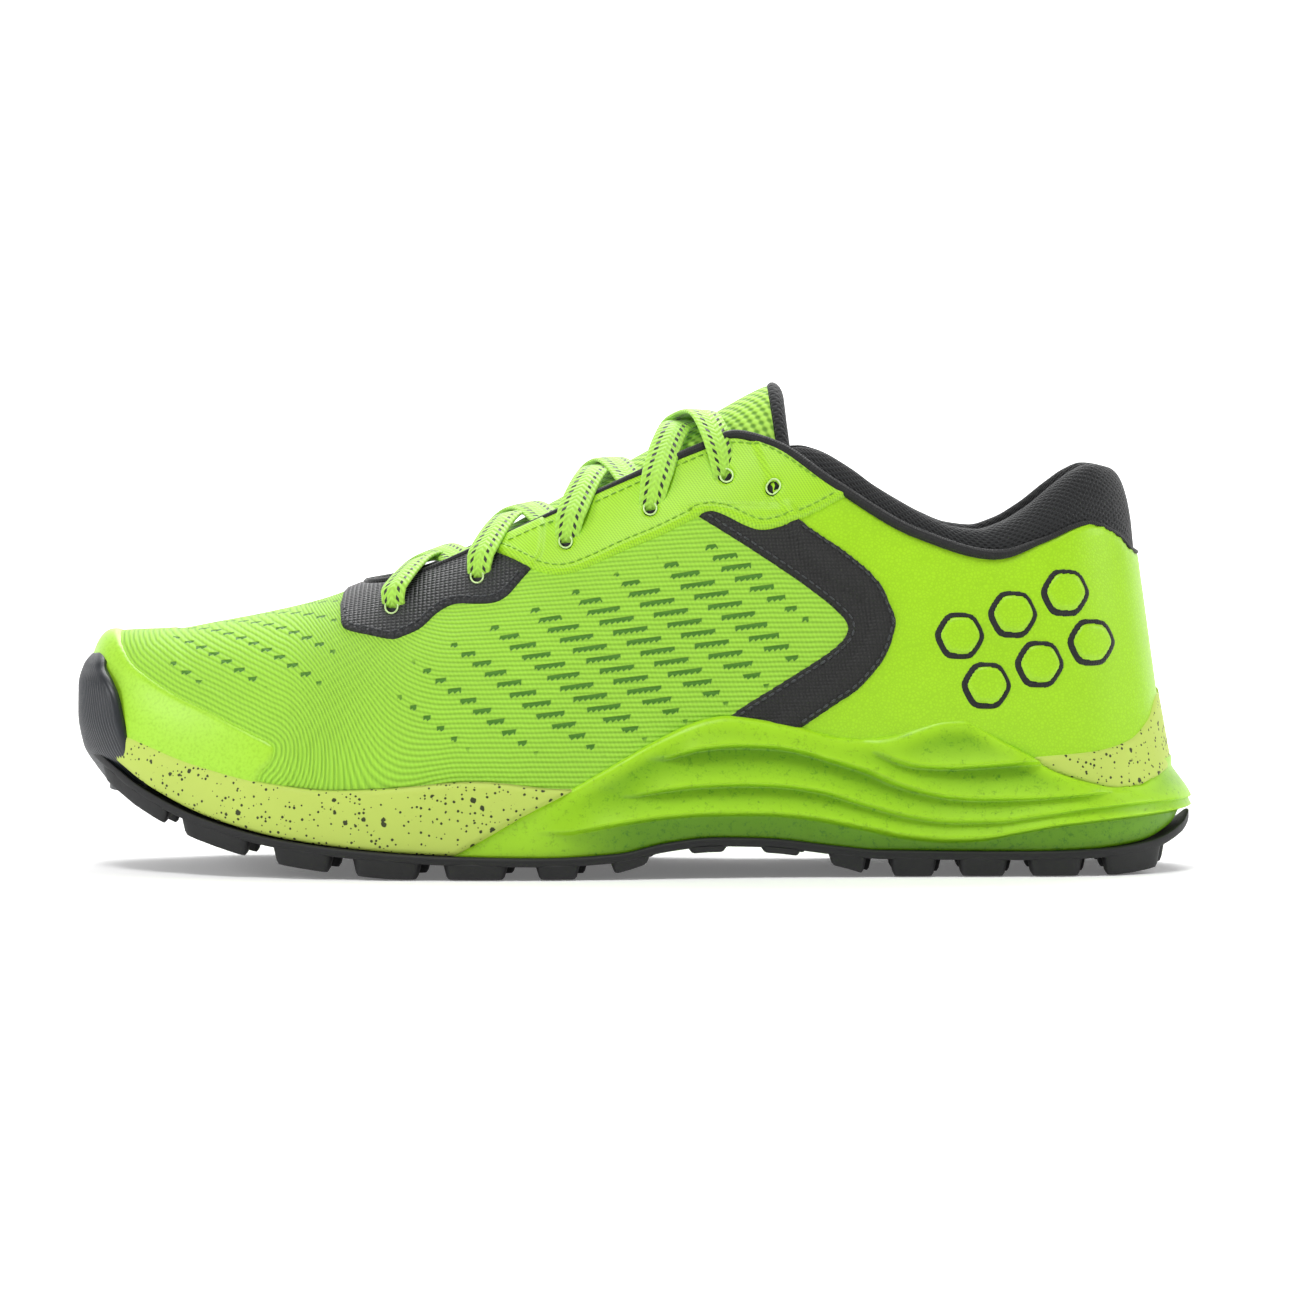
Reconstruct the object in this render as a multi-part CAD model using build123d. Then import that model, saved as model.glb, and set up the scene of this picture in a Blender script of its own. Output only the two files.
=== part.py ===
from build123d import *
import math
import os

# Left running shoe for trails, men's size US 9, in millimetres.
# X runs from the toe (-X) to the heel (+X), the lateral side faces -Y, and Z is up from the ground.
# The origin is the middle of the shoe's footprint, on the ground.

# ---------------------------------------------------------------- driving dimensions
SHOE_LENGTH = 300.0
SOLE_TOE = -SHOE_LENGTH / 2
SOLE_HEEL = SHOE_LENGTH / 2
UPPER_TOE = SOLE_TOE + 3.0
UPPER_HEEL = SOLE_HEEL - 7.0
RIM = 4.0  # how far the foam stands out past the upper, all round
HEEL_LEAN = 0.13  # forward lean of the heel's back, mm per mm of height
FRAME_WALL = 9.0
CORE_INSET = 2.4  # the soft foam stands in from the frame and the bumper
PLATE = 2.4
TREAD_INSET = 0.8
LUGS_ACROSS = 5
KNIT = 1.2
OVERLAY = 0.9
STIFFENER = 1.1
PADDING = 5.0
LINING = 1.0
BINDING = 2.0
BOARD = 1.4
HEM = 0.6  # the knit's lower edge lies this far above the bed, so the upper is open below
GLUE = 0.15
INSOLE = 4.0
INSOLE_GAP = 0.35  # clearance of a loose piece
TONGUE_DEPTH = 5.1  # from the upper's outer face down to the tongue's face
TONGUE_SKIN = 1.0
TONGUE_PAD = 4.2
LACE_WIDTH = 7.0
LACE_THICKNESS = 1.2
AGLET_LENGTH = 20.0
EYELET_RADIUS = 1.9
FAR = 200.0  # reaches past the shoe on any side

# ---------------------------------------------------------------- lines along the shoe, as (x, value)
CENTRE_Y = [(-150, 11.5), (-110, 4.5), (-60, 0), (0, -2), (60, -1.5), (150, 0)]
LATERAL_HALF = [(-150, 40), (-120, 43), (-90, 49), (-60, 53), (-40, 53), (-10, 50), (20, 44.8),
                (50, 40.6), (80, 38.5), (150, 38)]
MEDIAL_HALF = [(-150, 42), (-120, 45), (-90, 49.5), (-60, 53), (-40, 51.3), (-10, 45.2), (20, 39.8),
               (50, 37.3), (80, 38.6), (150, 39)]
RIDGE_Y = [(-147, 11.5), (-110, 7.5), (-60, 5.5), (-20, 4.5), (30, 1.5), (80, -0.5), (143, -0.5)]
RIDGE_Z = [(-147, 62), (-134, 62.9), (-125, 63.3), (-112, 65.5), (-98, 68.2), (-84, 71.6), (-70, 76.8),
           (-47, 87.5), (-20, 102), (0, 112.8), (20, 124), (36, 132.5), (50, 137), (90, 138), (110, 146),
           (125, 158), (143, 168)]
BED_Z = [(-150, 34), (-135, 30.5), (-120, 26), (-100, 21), (-80, 18.5), (-50, 18.5), (-20, 19), (20, 21),
         (60, 24), (100, 26), (150, 27)]
CORNER = [(-150, 0.78), (-100, 0.82), (-40, 1.0), (150, 1.0)]  # below 1 is boxier than an ellipse
OUTSOLE_TOP = [(-150, 36), (-141, 29.5), (-130.5, 22.4), (-112.9, 14.8), (-92.3, 9.9), (-73, 7.6),
               (-49, 6.1), (-22.7, 5.6), (-3.7, 6.6), (9, 9.3), (21.7, 10.6), (34.4, 10.3), (54.8, 8),
               (66, 6.9), (107.7, 6.5), (122.8, 6.9), (137.8, 8.6), (146.9, 12.5), (150, 16)]
LUG_DEPTH = [(-150, 3.2), (-100, 4.0), (-60, 4.4), (-22, 4.4), (0, 2.2), (12, 1.4), (40, 1.4), (56, 3.2),
             (68, 5.0), (150, 5.0)]
TONGUE_HALF = [(-58, 14), (-40, 19.5), (0, 22), (30, 22), (42, 20)]

# ---------------------------------------------------------------- outlines in the side view, as (x, z)
TOPLINE = [(-69, 77.4), (-60.9, 77.8), (-37, 87.6), (-1.5, 104), (19.6, 113.1), (27, 116), (37, 113.6),
           (52.6, 103.4), (75, 90.2), (95.8, 84.5), (108, 88.1), (121.3, 92.7), (128.7, 89.8), (138, 83.5)]
TOPLINE_REAR = [(60.8, 98.2)] + TOPLINE[8:]
COLLAR_TOP = [(60.8, 103.9), (77.4, 96.2), (91.3, 92.7), (105.3, 98.9), (114, 106.3), (122, 109.8),
              (128, 105.5), (132.6, 97), (138, 83.5)]
COLLAR_LOW = [(60.8, 92), (68, 78), (84, 66), (110, 61), (140, 62)]
COUNTER_TOP = [(72, 30), (84, 46), (104, 55), (125, 58), (142, 58)]
CORE_RIM = [(-150, 41), (-137, 36.4), (-118, 29.5), (-97.4, 24.8), (-82, 23.3), (-64.8, 24), (-42, 25.7),
            (-18, 23.7), (10, 24.5), (50, 27), (90, 30), (107.7, 31.8), (122.7, 33.3), (132, 35.8),
            (138.6, 41.2), (142.6, 47.6), (150, 49)]
FRAME_TOP = [(-49, 6.1), (-29.1, 17.5), (-10, 27.7), (9, 37.9), (17, 41.5), (26.8, 42.8), (45, 39.8),
             (60, 36.7), (71, 37.6), (84, 41.5), (89.9, 41.8), (96, 38.4), (115.2, 27.3), (125, 24),
             (133, 23.7), (141, 26.8), (146, 29), (151, 27)]
BUMPER_FRONT = [(25.8, -144.5), (32.5, -148.6), (41, -150), (48.5, -149.9), (55.4, -147.6), (58.4, -143.9)]
BUMPER_BACK = [(22.4, -130.5), (28.5, -134.3), (37.2, -137.1), (46.5, -139.4), (52.4, -141.7), (58.4, -143.2)]
TOE_CAP_BACK = [(-138, 70), (-136, 61.8), (-133.5, 57), (-128.3, 52), (-118, 46.8), (-107.7, 42.2),
                (-97.4, 38.1), (-94.5, 35.3), (-95.9, 30.9), (-101, 16)]
TOE_PUFF_BACK = [(-122, 70), (-118, 54), (-104.6, 46), (-88.7, 39.3), (-85, 36), (-88.1, 30.6), (-93, 16)]
THROAT_PATCH = [(-70.9, 84), (-72.5, 75.5), (-77.9, 70.9), (-77, 66.3), (-69.3, 63.7), (-61, 63.4),
                (-52.3, 69.4), (-46, 72.2), (-36, 73.2), (-31, 76.5), (-24, 84), (-24, 100)]
EYESTAY_EDGE = [(-41, 84.4), (-33.3, 84.4), (-23.6, 80.5), (-13.4, 80.9), (0.7, 87.6), (12.5, 93),
                (20.1, 96.4), (26.8, 93.8), (34.5, 91.5), (44, 94.4), (57, 99)]
STRIPE_FRONT = [(19, 94.9), (36, 83.5), (50, 74.8), (56.9, 67.5), (52, 60), (36, 50.1), (20, 39)]
STRIPE_BACK = [(38, 35), (51.6, 45.2), (63.5, 55.2), (69.2, 66.6), (62, 80.5), (51.6, 88.9), (40, 96)]
QUARTER_FRONT = [(28, 118), (45, 84), (60, 73), (62, 66), (56, 57), (42, 47), (28, 34), (24, 18)]
EYELETS = [(-63.6, 70.2), (-41, 78.3), (-17.6, 87.5), (4.7, 96.2), (24.8, 104.8), (37, 101.6)]
TAIL = [(24, 96), (22, 84), (21, 74), (20, 52)]  # where a lace end lies inside, below the fifth eyelet
LUG_ROWS = [(-142.5, -122.6), (-119.9, -100.5), (-95, -78.4), (-73.9, -55), (-50, -32.2), (-25.7, -13.3),
            (-6, 5.2), (14.4, 25.4), (33.5, 45), (51.4, 62.3), (67.7, 80.9), (85.7, 99.7), (104.3, 119.6),
            (124.2, 141)]


def along(points):
    """A smooth curve through (x, value) points, as a function of x that is level past both ends."""
    last = len(points) - 1
    steps = [(points[i + 1][1] - points[i][1]) / (points[i + 1][0] - points[i][0]) for i in range(last)]
    slopes = [steps[0]]
    for before, after in zip(steps, steps[1:]):
        slopes.append(2 * before * after / (before + after) if before * after > 0 else 0.0)
    slopes.append(steps[-1])

    def value(x):
        if x <= points[0][0]:
            return points[0][1]
        if x >= points[last][0]:
            return points[last][1]
        i = max(k for k in range(last) if points[k][0] <= x)
        (x0, v0), (x1, v1) = points[i], points[i + 1]
        t = (x - x0) / (x1 - x0)
        ends = v0 * (1 + 2 * t) * (1 - t) ** 2 + v1 * t * t * (3 - 2 * t)
        return ends + (x1 - x0) * t * (1 - t) * (slopes[i] * (1 - t) - slopes[i + 1] * t)

    return value


centre_y = along(CENTRE_Y)
lateral_half = along(LATERAL_HALF)
medial_half = along(MEDIAL_HALF)
ridge_y = along(RIDGE_Y)
ridge_z = along(RIDGE_Z)
bed_z = along(BED_Z)
corner = along(CORNER)
outsole_top = along(OUTSOLE_TOP)
lug_depth = along(LUG_DEPTH)
tongue_half = along(TONGUE_HALF)
bumper_front = along(BUMPER_FRONT)
bumper_back = along(BUMPER_BACK)


def rounding(distance, reach, power):
    """0 at the tip, rising to 1 at reach from it, along a superellipse."""
    u = min(max(distance / reach, 0.0), 1.0)
    return (1 - (1 - u) ** power) ** (1 / power)


def plan_edges(x, toe, heel, inset):
    """(lateral y, medial y) of the outline seen from above, at x."""
    tip = rounding(x - toe, 55, 2.2) * rounding(heel - x, 42, 2.1)
    y = centre_y(x)
    return y - (lateral_half(x) - inset) * tip, y + (medial_half(x) - inset) * tip


def stations(low, high, count):
    """x positions from low to high, close together near both ends."""
    middle, half = (low + high) / 2, (high - low) / 2
    inner = [middle - half * math.cos(math.pi * i / (count - 1)) for i in range(1, count - 1)]
    return [low] + inner + [high]


def sampled(function, low, high, count, shift=0.0):
    """(x, value + shift) points along a line of the shoe."""
    xs = [low + (high - low) * i / (count - 1) for i in range(count)]
    return [(x, function(x) + shift) for x in xs]


def plan_prism(toe, heel, inset, low=-5.0, high=FAR):
    """The outline seen from above, as a solid from z low to z high."""
    xs = stations(toe, heel, 19)
    lateral = [Vector(x, plan_edges(x, toe, heel, inset)[0], low) for x in xs]
    medial = [Vector(x, plan_edges(x, toe, heel, inset)[1], low) for x in xs]
    wire = Wire([Edge.make_spline(lateral), Edge.make_spline(medial)])
    return extrude(Face(wire), amount=high - low, dir=(0, 0, 1))


def side_prism(*strokes):
    """A closed outline in the side view, as a solid right across the shoe.

    Each stroke is ("curve", points) or ("lines", points), and starts where the one before it ends.
    """
    edges = []
    for kind, points in strokes:
        corners = [Vector(x, -FAR, z) for x, z in points]
        if kind == "curve":
            edges.append(Edge.make_spline(corners))
        else:
            edges += [Edge.make_line(a, b) for a, b in zip(corners, corners[1:]) if (b - a).length > 0.01]
    return extrude(Face(Wire(edges)), amount=2 * FAR, dir=(0, 1, 0))


def above(curve, reach=FAR):
    """Everything above a side-view curve, within its own length."""
    (x0, z0), (x1, z1) = curve[0], curve[-1]
    return side_prism(("curve", curve), ("lines", [(x1, z1), (x1, reach), (x0, reach), (x0, z0)]))


def below(curve):
    """Everything below a side-view curve, within its own length."""
    return above(curve, -FAR)


def between(upper, lower):
    """The band between two side-view curves that run the same way."""
    return side_prism(("curve", upper), ("lines", [upper[-1], lower[-1]]), ("curve", lower[::-1]),
                      ("lines", [lower[0], upper[0]]))


def shifted(points, dz):
    """A side-view curve moved up by dz."""
    return [(x, z + dz) for x, z in points]


def form_point(x, angle, inset=0.0):
    """A point of the foot form: angle 0 is the lateral foot of the section at x, pi the medial one."""
    toe, heel = UPPER_TOE + inset, UPPER_HEEL - inset
    lateral, medial = plan_edges(x, toe, heel, RIM + inset)
    low = bed_z(x)
    high = low + (ridge_z(x) - inset - low) * rounding(x - toe, 8, 2.5)
    peak = min(max(ridge_y(x), lateral + 1), medial - 1)
    side = lateral if angle <= math.pi / 2 else medial
    power = corner(x)
    y = peak + (side - peak) * abs(math.cos(angle)) ** power
    z = low + (high - low) * max(math.sin(angle), 0.0) ** power
    lean = HEEL_LEAN * max(0.0, (x - 40) / 100) ** 2
    return Vector(x - lean * (z - low), y, z)


def form_section(x, inset):
    """The closed cross-section of the foot form at station x."""
    steps = 12
    points = [form_point(x, math.pi * i / steps, inset) for i in range(steps + 1)]
    return Wire([Edge.make_spline(points), Edge.make_line(points[-1], points[0])])


def foot_form(inset):
    """The solid inside the upper's outer face, drawn in by inset (grown if that is negative)."""
    xs = stations(UPPER_TOE + inset, UPPER_HEEL - inset, 21)[1:-1]
    return Solid.make_loft([form_section(x, inset) for x in xs])


def form_angle(x, z, inset=0.0):
    """The lateral angle at which the form's section at x reaches height z."""
    low = bed_z(x)
    share = min(max((z - low) / (ridge_z(x) - inset - low), 0.0), 1.0)
    return math.asin(share ** (1 / corner(x)))


def form_normal(x, angle, inset=0.0):
    """The outward direction of the form's section there, in the plane across the shoe."""
    step = 0.01
    run = form_point(x, angle + step, inset) - form_point(x, angle - step, inset)
    return Vector(0, -run.Z, run.Y).normalized()


def half_space(lateral):
    """One side of the shoe's long middle plane, which follows the throat."""
    return Pos(0, (-FAR if lateral else FAR) / 2 + ridge_y(0), FAR / 2) * Box(2 * FAR, FAR, 2 * FAR)


# ---------------------------------------------------------------- sole
def make_outsole():
    """Rubber plate with its tread: rows of lugs moulded in one piece."""
    toe, heel = SOLE_TOE + 2.5, SOLE_HEEL - 0.3
    plan = plan_prism(toe, heel, TREAD_INSET)
    top = sole_line()
    base = shifted(top, -PLATE)
    inside = shifted(top, -0.6)
    ground = [(x, max(z - lug_depth(x), 0.0)) for x, z in base]
    plate = plan & between(top, base)
    tread = plan & side_prism(("lines", ground), ("lines", [ground[-1], inside[-1]]),
                              ("curve", inside[::-1]), ("lines", [inside[0], ground[0]]))
    lugs = []
    for x0, x1 in LUG_ROWS:
        lateral, medial = plan_edges((x0 + x1) / 2, toe, heel, TREAD_INSET)
        pitch = (medial - lateral) / LUGS_ACROSS
        for k in range(LUGS_ACROSS):
            at_edge = k in (0, LUGS_ACROSS - 1)
            width = pitch * (0.9 if at_edge else 0.6)
            offset = 0.2 * pitch if at_edge else 0.0
            y = lateral + pitch * (k + 0.5) + (offset if k else -offset)
            x = (x0 + x1) / 2 + (2.0 if k % 2 else 0.0)
            lugs.append(Pos(x, y, 20) * Box(x1 - x0 - 1.0, width, 60))
    return plate + [tread & lug for lug in lugs]


def sole_line():
    """The side-view line where the foam meets the rubber."""
    return sampled(outsole_top, SOLE_TOE - 1, SOLE_HEEL + 1, 25)


def make_midsole_frame(form):
    """Firmer foam that wraps the arch and heel like a cradle."""
    hollow = plan_prism(SOLE_TOE + FRAME_WALL, SOLE_HEEL - FRAME_WALL, FRAME_WALL)
    outside = plan_prism(SOLE_TOE, SOLE_HEEL, 0) - hollow
    return ((outside & below(FRAME_TOP)) - below(sole_line())) - form


def make_midsole_core(form):
    """Soft foam under the whole foot, with a low rim that the upper sits in."""
    plan = plan_prism(SOLE_TOE + CORE_INSET, SOLE_HEEL - 2 * CORE_INSET, CORE_INSET)
    hollow = plan_prism(SOLE_TOE + FRAME_WALL, SOLE_HEEL - FRAME_WALL, FRAME_WALL)
    outside = below(FRAME_TOP) - hollow
    return (((plan & below(CORE_RIM)) - below(sole_line())) - outside) - form


def make_toe_bumper(skin_form, core):
    """Rubber guard that wraps the front of the toe."""
    wires = []
    for z in (26.5, 31, 36, 41, 46, 51, 55, 57.6):
        front, back = bumper_front(z), bumper_back(z)
        slide = front - SOLE_TOE
        xs = [back + (front - back) * math.sin(math.pi / 2 * i / 6) for i in range(7)]
        edges = [plan_edges(x - slide, SOLE_TOE, SOLE_HEEL, 0) for x in xs]
        lateral = [Vector(x, edge[0], z) for x, edge in zip(xs, edges)]
        medial = [Vector(x, edge[1], z) for x, edge in zip(xs, edges)][-2::-1]
        outline = lateral + medial
        wires.append(Wire([Edge.make_spline(outline), Edge.make_line(outline[-1], outline[0])]))
    guard = ((Solid.make_loft(wires) - skin_form) - core) - below(sole_line())
    return max(guard.solids(), key=lambda solid: solid.volume)


# ---------------------------------------------------------------- upper
def make_overlays(form, skin_form, holes):
    """The pieces fused on the knit, cut edge to edge from one skin over the foot form."""
    sole = [below(CORE_RIM), below(FRAME_TOP)]
    binding = between(TOPLINE, shifted(TOPLINE, -BINDING))
    opening = above(shifted(TOPLINE, -BINDING))
    cap = side_prism(("curve", TOE_CAP_BACK), ("lines", [TOE_CAP_BACK[-1], (-160, 16), (-160, 70),
                                                         TOE_CAP_BACK[0]]))
    patch = side_prism(("lines", THROAT_PATCH + THROAT_PATCH[:1]))
    eyestay = side_prism(("curve", EYESTAY_EDGE), ("lines", [EYESTAY_EDGE[-1], (57, 125), (-41, 125),
                                                             EYESTAY_EDGE[0]]))
    stripe = side_prism(("curve", STRIPE_FRONT), ("lines", [STRIPE_FRONT[-1], STRIPE_BACK[0]]),
                        ("curve", STRIPE_BACK), ("lines", [STRIPE_BACK[-1], STRIPE_FRONT[0]]))
    quarter = side_prism(("curve", QUARTER_FRONT), ("lines", [QUARTER_FRONT[-1], (160, 18), (160, 118),
                                                              QUARTER_FRONT[0]]))

    def skin(region):
        return (skin_form & region) - form

    stays = skin(eyestay - opening) - holes
    stripes = skin(((stripe - eyestay) - opening) - sole)
    pieces = {
        "topline_binding": skin(binding),
        "toe_overlay": skin(cap - sole),
        "throat_reinforcement": skin((patch - eyestay) - opening) - holes,
        "rear_quarter": skin((((quarter - stripe) - eyestay) - opening) - sole),
    }
    for side, lateral in (("lateral", True), ("medial", False)):
        pieces["eyestay_" + side] = stays & half_space(lateral)
        pieces["side_stripe_" + side] = stripes & half_space(lateral)
    return pieces


# ---------------------------------------------------------------- inside the shoe
def make_strobel_board():
    """Stitched board that closes the upper's underside."""
    inset = KNIT + 2.0
    plan = plan_prism(UPPER_TOE + inset, UPPER_HEEL - inset, RIM + inset)
    low = sampled(bed_z, SOLE_TOE, SOLE_HEEL, 13, GLUE)
    return plan & between(shifted(low, BOARD), low)


def make_insole():
    """Loose foam sockliner that lies on the board."""
    plan = plan_prism(UPPER_TOE + 7, UPPER_HEEL - 8, RIM + 5)
    low = sampled(bed_z, SOLE_TOE, SOLE_HEEL, 13, BOARD + GLUE + INSOLE_GAP)
    return plan & between(shifted(low, INSOLE), low)


def make_toe_puff(liner_form):
    """Stiffener bonded inside the toe box."""
    region = side_prism(("curve", TOE_PUFF_BACK), ("lines", [TOE_PUFF_BACK[-1], (-160, 16), (-160, 70),
                                                             TOE_PUFF_BACK[0]]))
    board = below(sampled(bed_z, SOLE_TOE, SOLE_HEEL, 13, BOARD + 2 * GLUE))
    return ((liner_form & region) - foot_form(KNIT + STIFFENER)) - board


def make_heel_counter(liner_form):
    """Stiff cup bonded inside the heel, under the padding."""
    board = below(sampled(bed_z, SOLE_TOE, SOLE_HEEL, 13, BOARD + 2 * GLUE))
    return ((liner_form & below(COUNTER_TOP)) - foot_form(KNIT + STIFFENER)) - board


def make_collar(outer_form, pad_form, inner_form):
    """Padding round the ankle, and the mesh that covers it and turns over the top edge."""
    foam_top = shifted(COLLAR_TOP, -LINING)
    foam = (outer_form & between(foam_top, COLLAR_LOW)) - pad_form
    roll = (foot_form(KNIT / 3) & between(COLLAR_TOP, TOPLINE_REAR)) - inner_form
    inside = (pad_form & between(TOPLINE_REAR, shifted(COLLAR_LOW, -2.0))) - inner_form
    return foam, (roll - foam) + inside


# ---------------------------------------------------------------- tongue
def tongue_layer(outer, inner):
    """One layer of the tongue, between two insets of the foot form."""
    front, tip = TONGUE_HALF[0][0], TONGUE_HALF[-1][0]
    xs = [front + (tip - front) * i / 8 for i in range(9)]
    left = [Vector(x, ridge_y(x) - tongue_half(x), 0) for x in xs]
    right = [Vector(x, ridge_y(x) + tongue_half(x), 0) for x in xs]
    end = [left[-1], Vector(tip + 8, ridge_y(tip), 0), right[-1]]
    wire = Wire([Edge.make_spline(left), Edge.make_three_point_arc(*end), Edge.make_spline(right[::-1]),
                 Edge.make_line(right[0], left[0])])
    strip = extrude(Face(wire), amount=FAR, dir=(0, 0, 1))
    tip_cut = side_prism(("lines", [(-70, 60), (44, 60), (49, 117), (41, 128), (36, 140), (-70, 140), (-70, 60)]))
    return ((foot_form(outer) & strip) & tip_cut) - foot_form(inner)


# ---------------------------------------------------------------- lace
def eyelet_holes():
    """The bores of both rows of eyelets, square to the upper."""
    bores = []
    for x, z in EYELETS:
        for angle in (form_angle(x, z), math.pi - form_angle(x, z)):
            plane = Plane(origin=form_point(x, angle), z_dir=form_normal(x, angle))
            bores.append(plane * Cylinder(EYELET_RADIUS, 12))
    return bores


def ribbon(route):
    """A flat strip of lace through (x, angle, inset) points of the foot form."""
    points = [form_point(*stop) for stop in route]
    wires = []
    for i, stop in enumerate(route):
        ahead = points[min(i + 1, len(points) - 1)]
        behind = points[max(i - 1, 0)]
        normal = form_normal(*stop)
        across = (ahead - behind).cross(normal).normalized() * (LACE_WIDTH / 2)
        thick = normal * (LACE_THICKNESS / 2)
        corners = [across + thick, across - thick, across * -1 - thick, thick - across]
        wires.append(Wire.make_polygon([points[i] + corner for corner in corners], close=True))
    return Solid.make_loft(wires, ruled=True)


def mirrored(route, lateral):
    """The route itself, or its twin on the medial side."""
    return route if lateral else [(x, math.pi - angle, inset) for x, angle, inset in route]


def make_lace():
    """Criss-cross lacing: each strand leaves an eyelet outside and tucks under the other eyestay."""
    outside = -OVERLAY - LACE_THICKNESS / 2 - 0.6
    under = KNIT + LACE_THICKNESS / 2 + 0.9
    strands = []
    aglets = []
    for lateral in (True, False):
        crossing = 0.9 if lateral else -0.6
        for (x0, z0), (x1, z1) in zip(EYELETS[:4], EYELETS[1:5]):
            start, end = form_angle(x0, z0), math.pi - form_angle(x1, z1)
            far = outside if (x1, z1) == EYELETS[4] else under
            depth = along([(0.0, outside), (0.28, outside), (0.5, crossing), (0.72, far), (1.0, far)])
            shares = [i / 10 for i in range(11)]
            route = [(x0 + (x1 - x0) * t, start + (end - start) * t, depth(t)) for t in shares]
            strands.append(ribbon(mirrored(route, lateral)))
        for x, z in EYELETS[:5]:
            stop = mirrored([(x, form_angle(x, z), (outside + under) / 2)], lateral)[0]
            plane = Plane(origin=form_point(*stop), z_dir=form_normal(*stop))
            strands.append(plane * Cylinder(EYELET_RADIUS - 0.3, under - outside - LACE_THICKNESS))
        inner = [(x, form_angle(x, z, under), under) for x, z in EYELETS[4:5] + TAIL[:1]]
        inner += [(x, form_angle(x, z, under + 1), under + 1) for x, z in TAIL[1:]]
        route = mirrored(inner, lateral)
        strands.append(ribbon(route[:-1]))
        top, low = form_point(*route[-2]), form_point(*route[-1])
        down = (low - top).normalized()
        plane = Plane(origin=top + down * (AGLET_LENGTH / 2 + 0.5), z_dir=down)
        aglets.append(plane * Cylinder(LACE_THICKNESS, AGLET_LENGTH))
    x, z = EYELETS[0]
    first = form_angle(x, z)
    bar = [first + (math.pi - 2 * first) * i / 6 for i in range(7)]
    strands.append(ribbon([(x, angle, under) for angle in bar]))
    return strands, aglets


def main():
    """Makes every piece and writes each to its own file."""
    os.makedirs("parts", exist_ok=True)
    form = foot_form(0)
    skin_form = foot_form(-OVERLAY)
    liner_form = foot_form(KNIT)
    pad_form = foot_form(KNIT + PADDING)
    inner_form = foot_form(KNIT + PADDING + LINING)
    opening = above(TOPLINE)
    holes = eyelet_holes()
    parts = {}

    parts["outsole"] = make_outsole()
    parts["midsole_frame"] = make_midsole_frame(form)
    parts["midsole_core"] = make_midsole_core(form)
    parts["toe_bumper"] = make_toe_bumper(skin_form, parts["midsole_core"])
    parts["strobel_board"] = make_strobel_board()
    parts["insole"] = make_insole()

    hem = below(sampled(bed_z, SOLE_TOE, SOLE_HEEL, 13, HEM))
    shell = ((form - liner_form) - opening) - hem
    parts["knit_upper"] = shell - holes
    parts.update(make_overlays(form, skin_form, holes))

    parts["toe_puff"] = make_toe_puff(liner_form)
    parts["heel_counter"] = make_heel_counter(liner_form)
    parts["collar_foam"], parts["collar_lining"] = make_collar(liner_form, pad_form, inner_form)

    face = TONGUE_DEPTH + TONGUE_SKIN
    pad = face + TONGUE_PAD
    parts["tongue_face"] = tongue_layer(TONGUE_DEPTH, face)
    parts["tongue_pad"] = tongue_layer(face, pad)
    parts["tongue_lining"] = tongue_layer(pad, pad + TONGUE_SKIN)

    strands, tips = make_lace()
    parts["lace"] = Compound(children=strands)
    parts["lace_tips"] = Compound(children=tips)

    for name, shape in parts.items():
        export_step(shape, f"parts/{name}.step")


if __name__ == "__main__":
    main()
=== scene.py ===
"""Left trail running shoe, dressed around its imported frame.

The frame holds every part's place. The lengths here are in millimetres, in the frame's own axes: X runs
from the toe (-X) to the heel (+X), the lateral side faces -Y, and Z is up. Meshes are scaled to metres.
"""

import logging
import math
from dataclasses import dataclass, field
from enum import Enum
from typing import Callable, Iterable, Sequence

import bmesh
import bpy
import numpy as np
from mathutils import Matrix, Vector

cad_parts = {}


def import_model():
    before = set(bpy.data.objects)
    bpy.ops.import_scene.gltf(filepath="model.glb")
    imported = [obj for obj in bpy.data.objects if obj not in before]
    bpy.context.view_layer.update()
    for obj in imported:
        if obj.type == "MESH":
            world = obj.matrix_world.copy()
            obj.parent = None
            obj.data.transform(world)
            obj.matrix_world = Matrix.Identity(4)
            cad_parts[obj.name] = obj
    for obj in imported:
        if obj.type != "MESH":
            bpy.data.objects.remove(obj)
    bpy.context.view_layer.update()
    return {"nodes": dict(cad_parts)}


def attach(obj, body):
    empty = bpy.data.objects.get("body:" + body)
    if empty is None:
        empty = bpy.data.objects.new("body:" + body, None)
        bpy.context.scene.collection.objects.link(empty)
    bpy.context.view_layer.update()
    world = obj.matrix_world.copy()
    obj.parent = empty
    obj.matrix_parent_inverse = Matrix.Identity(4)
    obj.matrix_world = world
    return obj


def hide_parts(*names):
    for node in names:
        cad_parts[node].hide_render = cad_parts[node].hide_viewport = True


Array = np.ndarray
Points = Sequence[tuple[float, float]]

MM = 0.001
UV_PER_MM = 0.01
LOG = logging.getLogger("shoe")


class Side(Enum):
    """The two long sides of the shoe."""

    LATERAL = "lateral"
    MEDIAL = "medial"


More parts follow.
